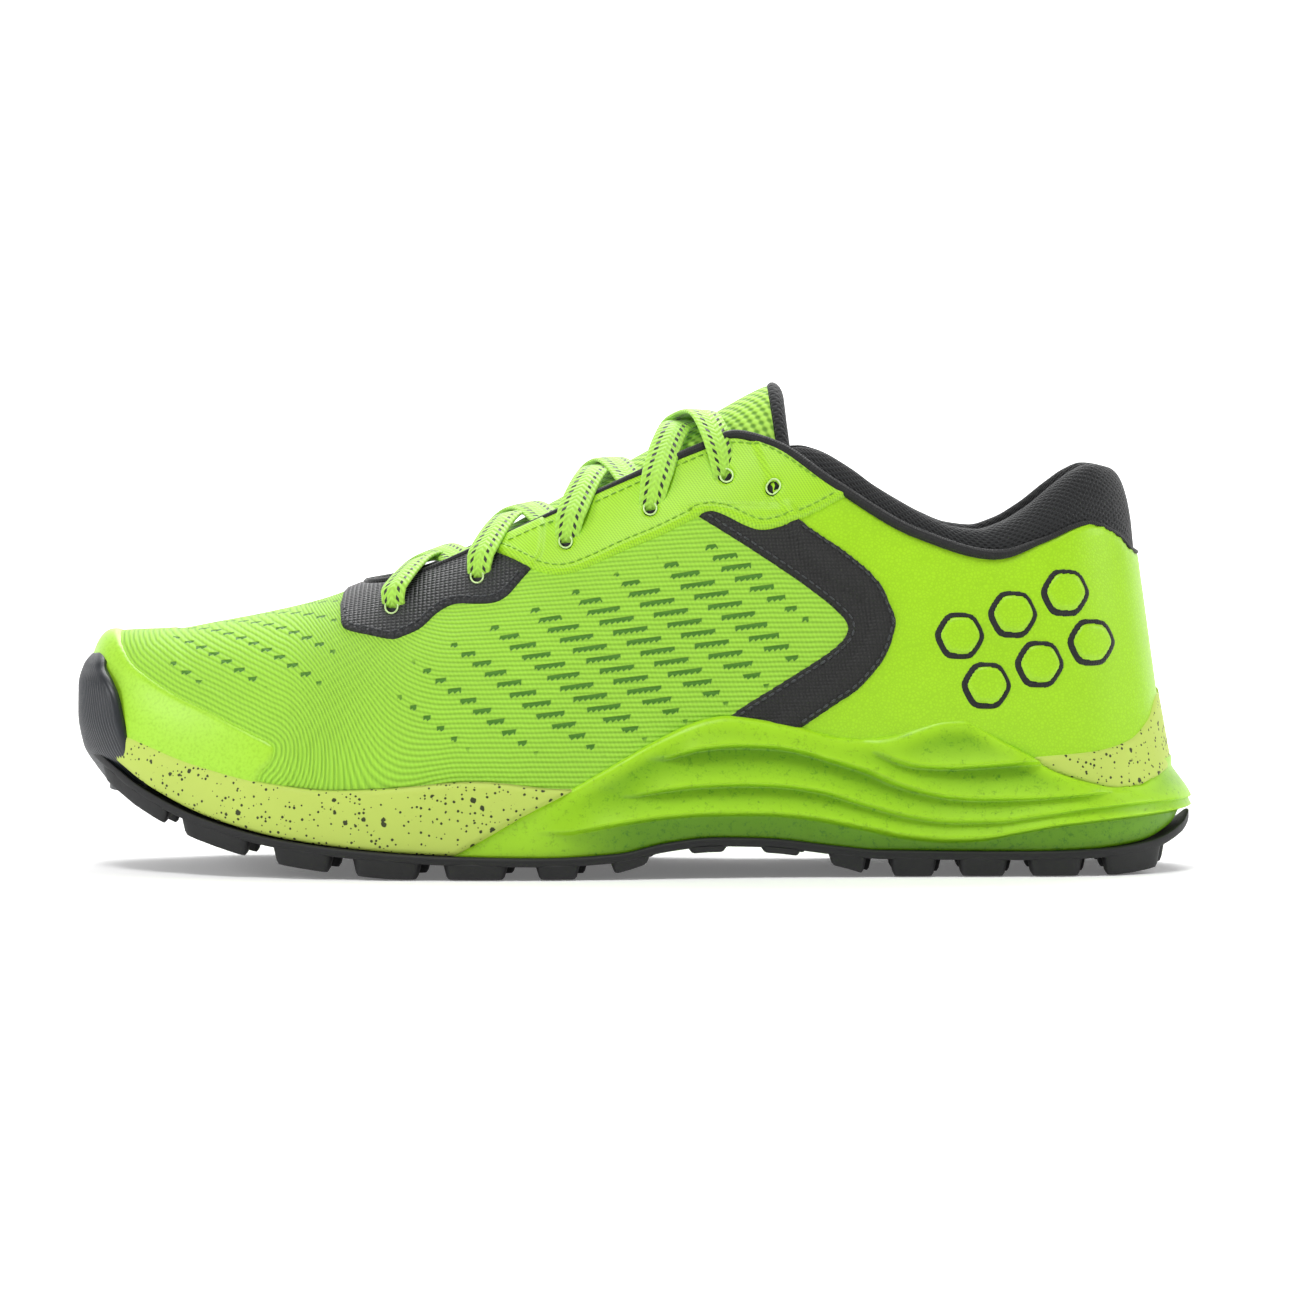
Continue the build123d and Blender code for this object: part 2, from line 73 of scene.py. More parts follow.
# ---------------------------------------------------------------- curves and outlines
class Line:
    """A smooth run of (x, value) points, level past both ends."""

    def __init__(self, points: Points) -> None:
        """Fits the slopes at the points.

        Args:
            points: (x, value) pairs, x rising.
        """
        self.x, self.v = (np.array(column, float) for column in zip(*points))
        step = np.diff(self.v) / np.diff(self.x)
        product = step[:-1] * step[1:]
        turn = product <= 0
        inner = np.where(turn, 0.0, 2 * product / np.where(turn, 1.0, step[:-1] + step[1:]))
        self.slope = np.concatenate(([step[0]], inner, [step[-1]]))

    def __call__(self, x: Array | float) -> Array:
        """Returns the value at x, an array or a number."""
        x = np.clip(np.asarray(x, float), self.x[0], self.x[-1])
        i = np.clip(np.searchsorted(self.x, x, side="right") - 1, 0, len(self.x) - 2)
        span = self.x[i + 1] - self.x[i]
        t = (x - self.x[i]) / span
        ends = self.v[i] * (1 + 2 * t) * (1 - t) ** 2 + self.v[i + 1] * t * t * (3 - 2 * t)
        return ends + span * t * (1 - t) * (self.slope[i] * (1 - t) - self.slope[i + 1] * t)


def smooth_run(points: Points, per: int = 8) -> list[tuple[float, float]]:
    """A Catmull-Rom curve through the points.

    Args:
        points: (x, z) pairs.
        per: samples from one point to the next.

    Returns:
        The sampled curve, ends included.
    """
    p = np.array([points[0], *points, points[-1]], float)
    run = []
    for a, b, c, d in zip(p, p[1:], p[2:], p[3:]):
        for t in np.arange(per) / per:
            run.append(tuple(0.5 * (2 * b + (c - a) * t + (2 * a - 5 * b + 4 * c - d) * t * t
                                    + (3 * b - a - 3 * c + d) * t ** 3)))
    return run + [tuple(p[-1])]


class Outline:
    """A closed outline in the side view, which can say how deep inside it a point lies."""

    def __init__(self, points: Points) -> None:
        """Keeps the corners, as (x, z) pairs in millimetres."""
        self.corners = np.array(points, float)

    def depth(self, x: Array, z: Array) -> Array:
        """Returns the distance to the edge, positive inside.

        Args:
            x: side-view x of the points.
            z: side-view z of the points.

        Returns:
            The distance, in the shape of x.
        """
        shape = np.shape(x)
        p = np.stack([np.ravel(x), np.ravel(z)], -1)
        nearest = np.full(len(p), 1e9)
        inside = np.zeros(len(p), bool)
        for a, b in zip(self.corners, np.roll(self.corners, -1, 0)):
            run = b - a
            t = np.clip(((p - a) @ run) / max(float(run @ run), 1e-9), 0, 1)
            nearest = np.minimum(nearest, np.hypot(*(p - a - t[:, None] * run).T))
            if a[1] != b[1]:
                crosses = (a[1] > p[:, 1]) != (b[1] > p[:, 1])
                inside ^= crosses & (p[:, 0] < a[0] + (p[:, 1] - a[1]) * run[0] / run[1])
        return np.where(inside, nearest, -nearest).reshape(shape)


def step_up(value: Array, low: float, high: float) -> Array:
    """0 below low, 1 above high, smooth in between."""
    t = np.clip((value - low) / (high - low), 0, 1)
    return t * t * (3 - 2 * t)


def round_over(distance: Array, reach: float, power: float = 2.2) -> Array:
    """0 at the tip or edge, 1 at reach from it, along a superellipse."""
    u = np.clip(distance / reach, 0, 1)
    return (1 - (1 - u) ** power) ** (1 / power)


# ---------------------------------------------------------------- the foot form
@dataclass(frozen=True)
class Last:
    """The form that the upper is drawn over: its outer face, and any face nested inside or outside that."""

    toe: float = -147.0
    heel: float = 143.0
    rim: float = 4.0
    lean: float = 0.13
    centre: Line = Line([(-150, 11.5), (-110, 4.5), (-60, 0), (0, -2), (60, -1.5), (150, 0)])
    lateral: Line = Line([(-150, 40), (-120, 43), (-90, 49), (-60, 53), (-40, 53), (-10, 50), (20, 44.8),
                          (50, 40.6), (80, 38.5), (150, 38)])
    medial: Line = Line([(-150, 42), (-120, 45), (-90, 49.5), (-60, 53), (-40, 51.3), (-10, 45.2),
                         (20, 39.8), (50, 37.3), (80, 38.6), (150, 39)])
    crest: Line = Line([(-147, 11.5), (-110, 7.5), (-60, 5.5), (-20, 4.5), (30, 1.5), (80, -0.5),
                        (143, -0.5)])
    top: Line = Line([(-147, 62), (-134, 62.9), (-125, 63.3), (-112, 65.5), (-98, 68.2), (-84, 71.6),
                      (-70, 76.8), (-47, 87.5), (-20, 102), (0, 112.8), (20, 124), (36, 132.5), (50, 137),
                      (90, 138), (110, 146), (125, 158), (143, 168)])
    bed: Line = Line([(-150, 34), (-135, 30.5), (-120, 26), (-100, 21), (-80, 18.5), (-50, 18.5), (-20, 19),
                      (20, 21), (60, 24), (100, 26), (150, 27)])
    corner: Line = Line([(-150, 0.78), (-100, 0.82), (-40, 1.0), (150, 1.0)])

    def edges(self, x: Array, toe: Array, heel: Array, inset: Array) -> tuple[Array, Array]:
        """Lateral and medial y of the outline seen from above.

        Args:
            x: station.
            toe: x of the outline's front tip.
            heel: x of its back tip.
            inset: how far the sides are drawn in from the sole's.

        Returns:
            The lateral y and the medial y.
        """
        tip = round_over(x - toe, 55, 2.2) * round_over(heel - x, 42, 2.1)
        y = self.centre(x)
        return y - (self.lateral(x) - inset) * tip, y + (self.medial(x) - inset) * tip

    def at(self, share: Array, angle: Array, inset: Array | float = 0.0) -> Array:
        """Points of the form.

        Args:
            share: 0 at the toe to 1 at the heel.
            angle: 0 at the lateral foot of the section, pi / 2 on the ridge, pi at the medial foot.
            inset: how far inside the upper's outer face, negative for outside.

        Returns:
            Points, with one more axis than the arguments.
        """
        share, angle, inset = np.broadcast_arrays(share, angle, inset)
        toe, heel = self.toe + inset, self.heel - inset
        x = toe + share * (heel - toe)
        low_side, high_side = self.edges(x, toe, heel, self.rim + inset)
        margin = 0.3 * (high_side - low_side)
        peak = np.minimum(np.maximum(self.crest(x), low_side + margin), high_side - margin)
        low = self.bed(x)
        high = low + (self.top(x) - inset - low) * round_over(x - toe, 8, 2.5)
        power = self.corner(x)
        side = np.where(angle <= math.pi / 2, low_side, high_side)
        y = peak + (side - peak) * np.abs(np.cos(angle)) ** power
        z = low + (high - low) * np.maximum(np.sin(angle), 0.0) ** power
        return np.stack([x - self.lean_at(x) * (z - low), y, z], -1)

    def lean_at(self, x: Array) -> Array:
        """Forward lean of the section at x, mm per mm of height."""
        return self.lean * np.maximum(0.0, (x - 40) / 100) ** 2

    def angle_at(self, x: Array, z: Array) -> Array:
        """Lateral angle at which the section at x reaches height z, 0 below the bed."""
        low = self.bed(x)
        height = (self.top(x) - low) * np.maximum(round_over(x - self.toe, 8, 2.5), 0.05)
        return np.arcsin(np.clip((z - low) / height, 0, 1) ** (1 / self.corner(x)))

    def locate(self, x: Array, z: Array, side: Side) -> tuple[Array, Array]:
        """Finds side-view points on one side of the form.

        Args:
            x: side-view x of the points.
            z: side-view z of the points.
            side: side of the shoe.

        Returns:
            Their share along the form and their angle round it.
        """
        x, z = np.asarray(x, float), np.asarray(z, float)
        station = x + self.lean_at(x) * (z - self.bed(x))
        station = np.clip(station + self.lean_at(station) * (z - self.bed(x)) * 0.2, self.toe, self.heel)
        angle = self.angle_at(station, z)
        share = (station - self.toe) / (self.heel - self.toe)
        return share, angle if side is Side.LATERAL else math.pi - angle

    def on(self, x: Array, z: Array, side: Side, lift: Array | float = 0.0) -> Array:
        """Points lying lift above the outer face, over the side-view points (x, z)."""
        share, angle = self.locate(x, z, side)
        return self.at(share, angle, -np.asarray(lift, float))

    def wall(self, share: Array, z: Array, side: Side, grow: Array | float) -> Array:
        """Points of the upright wall round the shoe.

        Args:
            share: 0 at the toe to 1 at the heel.
            z: height of the points.
            side: side of the shoe.
            grow: how far outside the upper's outer face they lie.

        Returns:
            Points, with one more axis than the arguments.
        """
        x = self.toe + np.asarray(share) * (self.heel - self.toe)
        angle = self.angle_at(x, z)
        points = self.at(share, angle if side is Side.LATERAL else math.pi - angle, -np.asarray(grow, float))
        points[..., 2] = z
        return points


LAST = Last()
TOPLINE = [(-72, 76), (-60.9, 77.8), (-37, 87.6), (-1.5, 104), (19.6, 113.1), (27, 116), (37, 113.6),
           (52.6, 103.4), (75, 90.2), (95.8, 84.5), (108, 88.1), (121.3, 92.7), (128.7, 89.8), (134, 85),
           (150, 78)]
EYELETS = [(-63.6, 70.2), (-41, 78.3), (-17.6, 87.5), (4.7, 96.2), (24.8, 104.8), (37, 101.6)]


# ---------------------------------------------------------------- mesh making
def make_object(name: str, points: Array, faces: Iterable[Sequence[int]], finish: "Finish",
                uv: Array | None = None, floats: dict[str, Array] | None = None) -> bpy.types.Object:
    """Makes a closed, smooth mesh object.

    Args:
        name: the piece's name.
        points: vertices in millimetres.
        faces: polygons as vertex numbers.
        finish: what the piece is made of.
        uv: pattern coordinates of the vertices, in millimetres.
        floats: named numbers, one per vertex, for the finish to read.

    Returns:
        The object, linked to the scene.
    """
    mesh = bpy.data.meshes.new(name)
    mesh.from_pydata((np.asarray(points) * MM).tolist(), [], [list(face) for face in faces])
    if uv is not None:
        owner = np.zeros(len(mesh.loops), np.int32)
        mesh.loops.foreach_get("vertex_index", owner)
        layer = mesh.uv_layers.new(name="pattern")
        layer.data.foreach_set("uv", (uv[owner] * UV_PER_MM).astype(np.float32).ravel())
    for key, values in (floats or {}).items():
        mesh.attributes.new(key, "FLOAT", "POINT").data.foreach_set("value", values.astype(np.float32))
    work = bmesh.new()
    work.from_mesh(mesh)
    bmesh.ops.remove_doubles(work, verts=work.verts, dist=0.02 * MM)
    bmesh.ops.dissolve_degenerate(work, edges=work.edges, dist=0.01 * MM)
    bmesh.ops.recalc_face_normals(work, faces=work.faces)
    work.to_mesh(mesh)
    work.free()
    mesh.shade_smooth()
    mesh.materials.append(finish.material())
    piece = bpy.data.objects.new(name, mesh)
    bpy.context.scene.collection.objects.link(piece)
    return piece


def settle(piece: bpy.types.Object, slot: str, *nodes: str, body: str = "shoe") -> bpy.types.Object:
    """Fixes a piece to a body.

    Args:
        piece: the piece.
        slot: not used.
        nodes: the CAD nodes that it stands for.
        body: the body that it moves with.

    Returns:
        The piece.
    """
    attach(piece, body)
    if nodes:
        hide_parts(*nodes)
    return piece


def joined(parts: Sequence[Sequence], uv: bool = False) -> tuple:
    """Several closed forms as one.

    Args:
        parts: vertices and faces of each form, and its pattern coordinates if uv is set.
        uv: whether to join the pattern coordinates too.

    Returns:
        Vertices and faces of them all, and the pattern coordinates if uv is set.
    """
    starts = np.cumsum([0] + [len(part[0]) for part in parts])
    faces = [[int(start) + v for v in face] for start, part in zip(starts, parts) for face in part[1]]
    columns = (0, 2) if uv else (0,)
    points, *more = (np.concatenate([part[i] for part in parts]) for i in columns)
    return (points, faces, *more)


def lengths_along(path: Array) -> Array:
    """How far along a path each of its points lies."""
    return np.concatenate([[0], np.cumsum(np.linalg.norm(np.diff(path, axis=0), axis=1))])


def clip_grid(depth: Array) -> tuple[Array, list[list[int]]]:
    """Cuts a grid along the line where depth is 0.

    Args:
        depth: one number per grid vertex, positive where the grid is kept.

    Returns:
        The kept vertices as fractional (row, column) pairs, and the faces.
    """
    numbers: dict[tuple, int] = {}
    spots: list[tuple[float, float]] = []

    def number(key: tuple, spot: tuple[float, float]) -> int:
        """Number of the vertex with that key."""
        if key not in numbers:
            numbers[key] = len(spots)
            spots.append(spot)
        return numbers[key]

    kept = depth > 0
    live = kept[:-1, :-1] | kept[1:, :-1] | kept[1:, 1:] | kept[:-1, 1:]
    faces = []
    for i, j in np.argwhere(live):
        ring = [(i, j), (i + 1, j), (i + 1, j + 1), (i, j + 1)]
        face = []
        for a, b in zip(ring, ring[1:] + ring[:1]):
            if kept[a]:
                face.append(number(a, a))
            if kept[a] != kept[b]:
                low, high = (a, b) if a < b else (b, a)
                t = float(np.clip(depth[low] / (depth[low] - depth[high]), 0.03, 0.97))
                spot = (low[0] + (high[0] - low[0]) * t, low[1] + (high[1] - low[1]) * t)
                face.append(number((low, high), spot))
        if len(face) > 2:
            faces.append(face)
    return np.array(spots, float), faces


def read_grid(grid: Array, spots: Array) -> Array:
    """Reads a grid between its vertices.

    Args:
        grid: one number per vertex.
        spots: fractional (row, column) pairs.

    Returns:
        The number at each spot, in a straight line between the four nearest vertices.
    """
    i = np.minimum(spots[:, 0].astype(int), grid.shape[0] - 2)
    j = np.minimum(spots[:, 1].astype(int), grid.shape[1] - 2)
    s, t = spots[:, 0] - i, spots[:, 1] - j
    return (grid[i, j] * (1 - s) * (1 - t) + grid[i + 1, j] * s * (1 - t)
            + grid[i, j + 1] * (1 - s) * t + grid[i + 1, j + 1] * s * t)


def close_sheet(faces: list[list[int]], count: int) -> list[list[int]]:
    """Faces of a thin solid: the sheet, its twin count vertices on, and the wall between their edges."""
    border: dict[tuple[int, int], tuple[int, int]] = {}
    for face in faces:
        for a, b in zip(face, face[1:] + face[:1]):
            if (b, a) in border:
                del border[(b, a)]
            else:
                border[(a, b)] = (a, b)
    twin = [[v + count for v in reversed(face)] for face in faces]
    return faces + twin + [[b, a, a + count, b + count] for a, b in border.values()]


def grid_faces(rows: int, columns: int, wrap: bool = False) -> list[list[int]]:
    """Quads of a rows by columns grid, joined from the last column to the first if wrap."""
    last = columns if wrap else columns - 1
    return [[i * columns + j, (i + 1) * columns + j, (i + 1) * columns + (j + 1) % columns,
             i * columns + (j + 1) % columns] for i in range(rows - 1) for j in range(last)]


def two_skins(outer: Array, inner: Array) -> tuple[Array, list[list[int]]]:
    """Vertices and faces of the solid between two grids of the same size."""
    rows, columns = outer.shape[:2]
    faces = close_sheet(grid_faces(rows, columns), rows * columns)
    return np.concatenate([outer.reshape(-1, 3), inner.reshape(-1, 3)]), faces


def frames_along(path: Array, up: Array | None = None) -> tuple[Array, Array, Array]:
    """Directions at each point of a path.

    Args:
        path: points of the path.
        up: wanted up at each point, or only at the first, and then turned as little as it can be.

    Returns:
        Unit tangents, ups and sides.
    """
    tangent = np.gradient(path, axis=0)
    tangent /= np.maximum(np.linalg.norm(tangent, axis=1, keepdims=True), 1e-9)
    ups = np.zeros_like(path)
    start = np.array([0.0, 0.0, 1.0]) if up is None or up.ndim > 1 else up
    for i, t in enumerate(tangent):
        guess = up[i] if up is not None and up.ndim > 1 else start
        guess = guess - t * (guess @ t)
        ups[i] = guess / max(np.linalg.norm(guess), 1e-9)
        start = ups[i]
    return tangent, ups, np.cross(tangent, ups)


def swept(path: Array, section: Array, up: Array | None = None,
          scale: Array | None = None) -> tuple[Array, list[list[int]], Array]:
    """A section carried along a path.

    Args:
        path: points of the path.
        section: (side, up) pairs of the closed section, or one set for each path point.
        up: the section's up at each path point, or only at the first.
        scale: size of the section at each path point.

    Returns:
        Vertices, faces with end caps, and pattern coordinates.
    """
    _, ups, sides = frames_along(path, up)
    rows = len(path)
    sections = np.broadcast_to(section, (rows, *section.shape[-2:]))
    if scale is not None:
        sections = sections * np.asarray(scale)[:, None, None]
    columns = sections.shape[1]
    points = path[:, None] + sections[..., :1] * sides[:, None] + sections[..., 1:] * ups[:, None]
    faces = grid_faces(rows, columns, wrap=True)
    faces += [list(range(columns)), [(rows - 1) * columns + j for j in reversed(range(columns))]]
    uv = np.stack([np.repeat(lengths_along(path), columns), sections[..., 0].ravel()], -1)
    return points.reshape(-1, 3), faces, uv


def ring(radius: float, count: int = 12, flat: float = 1.0) -> Array:
    """A closed oval section, flat times as high as it is wide."""
    turn = np.arange(count) / count * math.tau
    return np.stack([radius * np.cos(turn), flat * radius * np.sin(turn)], -1)


def skin_piece(name: str, finish: "Finish", span: tuple[float, float], angles: tuple[float, float],
               depth: Callable[[Array, Array], Array], lift: Callable[[Array, Array, Array], Array],
               under: Callable[[Array, Array], Array] | float, pitch: float = 1.0,
               notes: Callable[[Array, Array], dict[str, Array]] | None = None) -> bpy.types.Object:
    """A thin closed piece that lies on the foot form and is cut out along an outline.

    Args:
        name: the piece's name.
        finish: what it is made of.
        span: side-view x that it reaches over.
        angles: section angles that it reaches over.
        depth: side-view (x, z) to depth inside the outline.
        lift: (x, z, depth) to the height of its face over the form.
        under: inset of its back face, or side-view (x, z) to that.
        pitch: size of the mesh's cells.
        notes: side-view (x, z) to named numbers for the finish.

    Returns:
        The piece.
    """
    shares = [(x - LAST.toe) / (LAST.heel - LAST.toe) for x in span]
    middle, half = sum(shares) / 2, (shares[1] - shares[0]) / 2
    rows = max(12, int((span[1] - span[0]) / pitch))
    even = np.linspace(-1, 1, rows)
    curl = -np.cos(np.linspace(0, math.pi, rows))
    at_tip = span[0] <= LAST.toe + 1 or span[1] >= LAST.heel - 1
    share = np.clip(middle + half * (0.45 * even + 0.55 * curl if at_tip else even), 0, 1)
    columns = max(24, int((angles[1] - angles[0]) / (math.pi / 2) * 92 / pitch))
    angle = np.linspace(*angles, columns)
    share, angle = np.meshgrid(share, angle, indexing="ij")
    base = LAST.at(share, angle)
    step = np.linalg.norm(np.diff(LAST.at(share[:, :1] + 0 * np.linspace(0, 1, 181),
                                          np.linspace(0, math.pi, 181)[None]), axis=1), axis=2)
    arc = np.concatenate([np.zeros((rows, 1)), np.cumsum(step, axis=1)], axis=1)
    place = angle / math.pi * 180
    low = np.minimum(place.astype(int), 179)
    run = (np.take_along_axis(arc, low, 1) * (1 - place + low)
           + np.take_along_axis(arc, low + 1, 1) * (place - low))
    rise = np.minimum(run, arc[:, -1:] - run)
    cut = depth(base[..., 0], base[..., 2])
    spots, faces = clip_grid(cut)
    share, angle, rise, cut = (read_grid(grid, spots) for grid in (share, angle, rise, cut))
    base = LAST.at(share, angle)
    x, z = base[:, 0], base[:, 2]
    back = under(x, z) if callable(under) else under
    points = np.concatenate([LAST.at(share, angle, -lift(x, z, cut)), LAST.at(share, angle, back)])
    v = rise + LAST.bed(x)
    uv = np.tile(np.stack([x, v], -1), (2, 1))
    floats = {key: np.tile(value, 2) for key, value in (notes(x, z, v) if notes else {}).items()}
    return make_object(name, points, close_sheet(faces, len(spots)), finish, uv, floats)


# ---------------------------------------------------------------- finishes
def linear(colour: str) -> tuple[float, float, float, float]:
    """Turns an sRGB hex colour, such as "#A8D82E", to linear light with full alpha."""
    parts = [int(colour[i:i + 2], 16) / 255 for i in (1, 3, 5)]
    return *(c / 12.92 if c <= 0.04045 else ((c + 0.055) / 1.055) ** 2.4 for c in parts), 1.0


def add_node(tree: bpy.types.NodeTree, kind: str, inputs: dict[str | int, object] | None = None,
             **settings: object) -> bpy.types.Node:
    """Adds a shader node.

    Args:
        tree: where it goes.
        kind: node type, without the leading "ShaderNode".
        inputs: socket name or number to a value, or to an output socket to link from.
        settings: the node's own properties.

    Returns:
        The node.
    """
    node = tree.nodes.new("ShaderNode" + kind)
    for key, value in settings.items():
        setattr(node, key, value)
    for key, value in (inputs or {}).items():
        if isinstance(value, bpy.types.NodeSocket):
            tree.links.new(value, node.inputs[key])
        else:
            node.inputs[key].default_value = value
    return node


class Weaver:
    """Arithmetic on the sockets of one node tree."""

    def __init__(self, tree: bpy.types.NodeTree) -> None:
        """Starts on a tree, with the pattern coordinates u and v in millimetres."""
        self.tree = tree
        layer = add_node(tree, "UVMap", uv_map="pattern")
        self.place = add_node(tree, "VectorMath", {0: layer.outputs[0], "Scale": 1 / UV_PER_MM},
                              operation="SCALE").outputs[0]
        parts = add_node(tree, "SeparateXYZ", {0: self.place})
        self.u, self.v = parts.outputs[0], parts.outputs[1]
        self.body = add_node(tree, "TexCoord").outputs["Object"]

    def math(self, operation: str, *values: object, clamp: bool = False) -> bpy.types.NodeSocket:
        """Result of a Math node on sockets or numbers."""
        return add_node(self.tree, "Math", dict(enumerate(values)), operation=operation,
                        use_clamp=clamp).outputs[0]

    def wave(self, along: object, pitch: float) -> bpy.types.NodeSocket:
        """A smooth wave, 0 to 1, of that pitch in millimetres along a socket."""
        turn = self.math("MULTIPLY", along, math.tau / pitch)
        return self.math("MULTIPLY_ADD", self.math("SINE", turn), 0.5, 0.5)

    def ramp(self, value: object, low: float, high: float) -> bpy.types.NodeSocket:
        """Smooth step of a socket, 0 at low to 1 at high."""
        return add_node(self.tree, "MapRange", {"Value": value, "From Min": low, "From Max": high},
                        interpolation_type="SMOOTHSTEP").outputs[0]

    def noise(self, size: float, detail: float = 2.0, place: object | None = None) -> bpy.types.NodeSocket:
        """Noise with lumps of that size in millimetres."""
        at = self.body if place is None else place
        scale = (1 / MM if place is None else 1.0) / size
        return add_node(self.tree, "TexNoise", {"Vector": at, "Scale": scale, "Detail": detail}).outputs[0]

    def cells(self, size: float, feature: str = "F1") -> bpy.types.Node:
        """Voronoi cells of that size in millimetres."""
        inputs = {"Vector": self.body, "Scale": 1 / MM / size}
        return add_node(self.tree, "TexVoronoi", inputs, feature=feature)

    def attribute(self, name: str) -> bpy.types.NodeSocket:
        """A number that the mesh carries."""
        return add_node(self.tree, "Attribute", attribute_name=name).outputs["Fac"]

    def blend(self, share: object, first: object, second: object) -> bpy.types.NodeSocket:
        """Colour going from first to second as share goes from 0 to 1."""
        inputs = {"Factor": share, 6: first, 7: second}
        return add_node(self.tree, "Mix", inputs, data_type="RGBA").outputs[2]


@dataclass(frozen=True)
class Finish:
    """What a surface is made of.

    Attributes:
        name: name of the material.
        colour: colour of the raised parts.
        hollow: colour of the hollows.
        roughness: of the raised parts.
        relief: height of the pattern in millimetres.
        sheen: weight of the fibres' sheen.
        ior: refractive index.
        mottle: how much the colour varies over a few centimetres.
        coat: weight of a clear surface film.
    """

    name: str
    colour: str
    hollow: str
    roughness: float = 0.6
    relief: float = 0.2
    sheen: float = 0.0
    ior: float = 1.5
    mottle: float = 0.06
    coat: float = 0.0

    def material(self) -> bpy.types.Material:
        """Returns the material, made when it is first asked for."""
        known = bpy.data.materials.get(self.name)
        if known:
            return known
        made = bpy.data.materials.new(self.name)
        made.use_nodes = True
        tree = made.node_tree
        tree.nodes.clear()
        weaver = Weaver(tree)
        height, shade = self.pattern(weaver)
        tone = weaver.blend(shade, linear(self.hollow), linear(self.colour))
        drift = weaver.math("MULTIPLY_ADD", weaver.noise(22, 3), 2 * self.mottle, 1 - self.mottle)
        tone = add_node(tree, "HueSaturation", {"Color": tone, "Value": drift}).outputs[0]
        rough = weaver.math("MULTIPLY_ADD", weaver.noise(3, 3), 0.12, self.roughness - 0.06, clamp=True)
        bump = add_node(tree, "Bump", {"Height": height, "Distance": self.relief * MM, "Strength": 1.0})
        shader = add_node(tree, "BsdfPrincipled", {"Base Color": tone, "Roughness": rough, "IOR": self.ior,
                                                   "Normal": bump.outputs[0], "Sheen Weight": self.sheen,
                                                   "Sheen Roughness": 0.4, "Coat Weight": self.coat,
                                                   "Coat Roughness": 0.3})
        add_node(tree, "OutputMaterial", {"Surface": shader.outputs[0]})
        return made

    def pattern(self, w: Weaver) -> tuple[bpy.types.NodeSocket, bpy.types.NodeSocket]:
        """Height of the pattern and share of the raised colour, 0 to 1 both."""
        grain = w.noise(0.8, 4)
        return grain, w.ramp(grain, 0.2, 0.6)


@dataclass(frozen=True)
class Knit(Finish):
    """Flat-knitted polyester: fine ribs side by side, with rows of small openings."""

    rib: float = 1.3
    row: tuple[float, float] = (3.6, -2.85)
    next_row: tuple[float, float] = (-10.7, -4.6)
    notch: float = 1.5
    tooth: float = 0.95
    longest: float = 4.4

    def pattern(self, w: Weaver) -> tuple[bpy.types.NodeSocket, bpy.types.NodeSocket]:
        """Ribs run along the mesh's courses, and the openings are longest in the middle of their field."""
        course = w.attribute("course")
        wander = w.math("MULTIPLY_ADD", w.noise(7, 2), 0.5, course)
        rib = w.math("POWER", w.wave(wander, self.rib), 0.7)
        stitch = w.wave(w.math("ADD", w.u, w.math("MULTIPLY", course, 0.35)), 1.15)
        (ax, ay), (bx, by) = self.row, self.next_row
        area = ax * by - ay * bx
        steps = []
        for x, y in ((by / area, -bx / area), (-ay / area, ax / area)):
            at = w.math("MULTIPLY_ADD", w.u, x, w.math("MULTIPLY", w.v, y))
            steps.append(w.math("WRAP", at, 0.5, -0.5))
        across = w.math("MULTIPLY_ADD", steps[0], ax, w.math("MULTIPLY", steps[1], bx))
        up = w.math("MULTIPLY_ADD", steps[0], ay, w.math("MULTIPLY", steps[1], by))
        up = w.math("MULTIPLY_ADD", across, -0.12, up)
        teeth = w.math("PINGPONG", w.math("ADD", across, w.math("MULTIPLY", up, -0.5)), self.notch / 2)
        opening = w.attribute("opening")
        reach = w.math("MULTIPLY_ADD", opening, self.longest, 0.3)
        length = w.ramp(w.math("SUBTRACT", reach, w.math("ABSOLUTE", across)), 0.0, 0.35)
        under = w.math("ADD", up, w.math("MULTIPLY_ADD", teeth, self.tooth, 0.55))
        width = w.ramp(w.math("MINIMUM", under, w.math("SUBTRACT", 0.62, up)), 0.0, 0.3)
        hole = w.math("MULTIPLY", w.math("MULTIPLY", length, width), w.ramp(opening, 0.02, 0.15))
        height = w.math("MULTIPLY_ADD", stitch, 0.2, w.math("MULTIPLY", rib, 0.8))
        height = w.math("MULTIPLY_ADD", hole, -0.9, height)
        shade = w.math("MULTIPLY_ADD", rib, 0.36, w.math("MULTIPLY_ADD", stitch, 0.1, 0.55), clamp=True)
        # The openings darken towards the hollow colour: partly the darker backing seen through them, partly
        # painted shade inside them.
        return height, w.math("MULTIPLY", shade, w.math("MULTIPLY_ADD", hole, -0.95, 1.0))


@dataclass(frozen=True)
class Woven(Finish):
    """Flat weave: threads pass over and under each other."""

    thread: float = 1.0
    slant: float = 0.0

    def pattern(self, w: Weaver) -> tuple[bpy.types.NodeSocket, bpy.types.NodeSocket]:
        """Two sets of threads, each highest where the other dips."""
        along = w.math("MULTIPLY_ADD", w.v, self.slant, w.u)
        warp, weft = w.wave(along, self.thread), w.wave(w.v, self.thread)
        check = w.math("MULTIPLY", w.wave(along, 2 * self.thread), w.wave(w.v, 2 * self.thread))
        height = w.math("MULTIPLY", w.math("POWER", warp, 0.6), w.math("POWER", weft, 0.6))
        height = w.math("MULTIPLY_ADD", check, 0.35, height)
        fray = w.noise(0.35, 2)
        return height, w.math("MULTIPLY_ADD", fray, 0.3, w.math("MULTIPLY", height, 0.7), clamp=True)


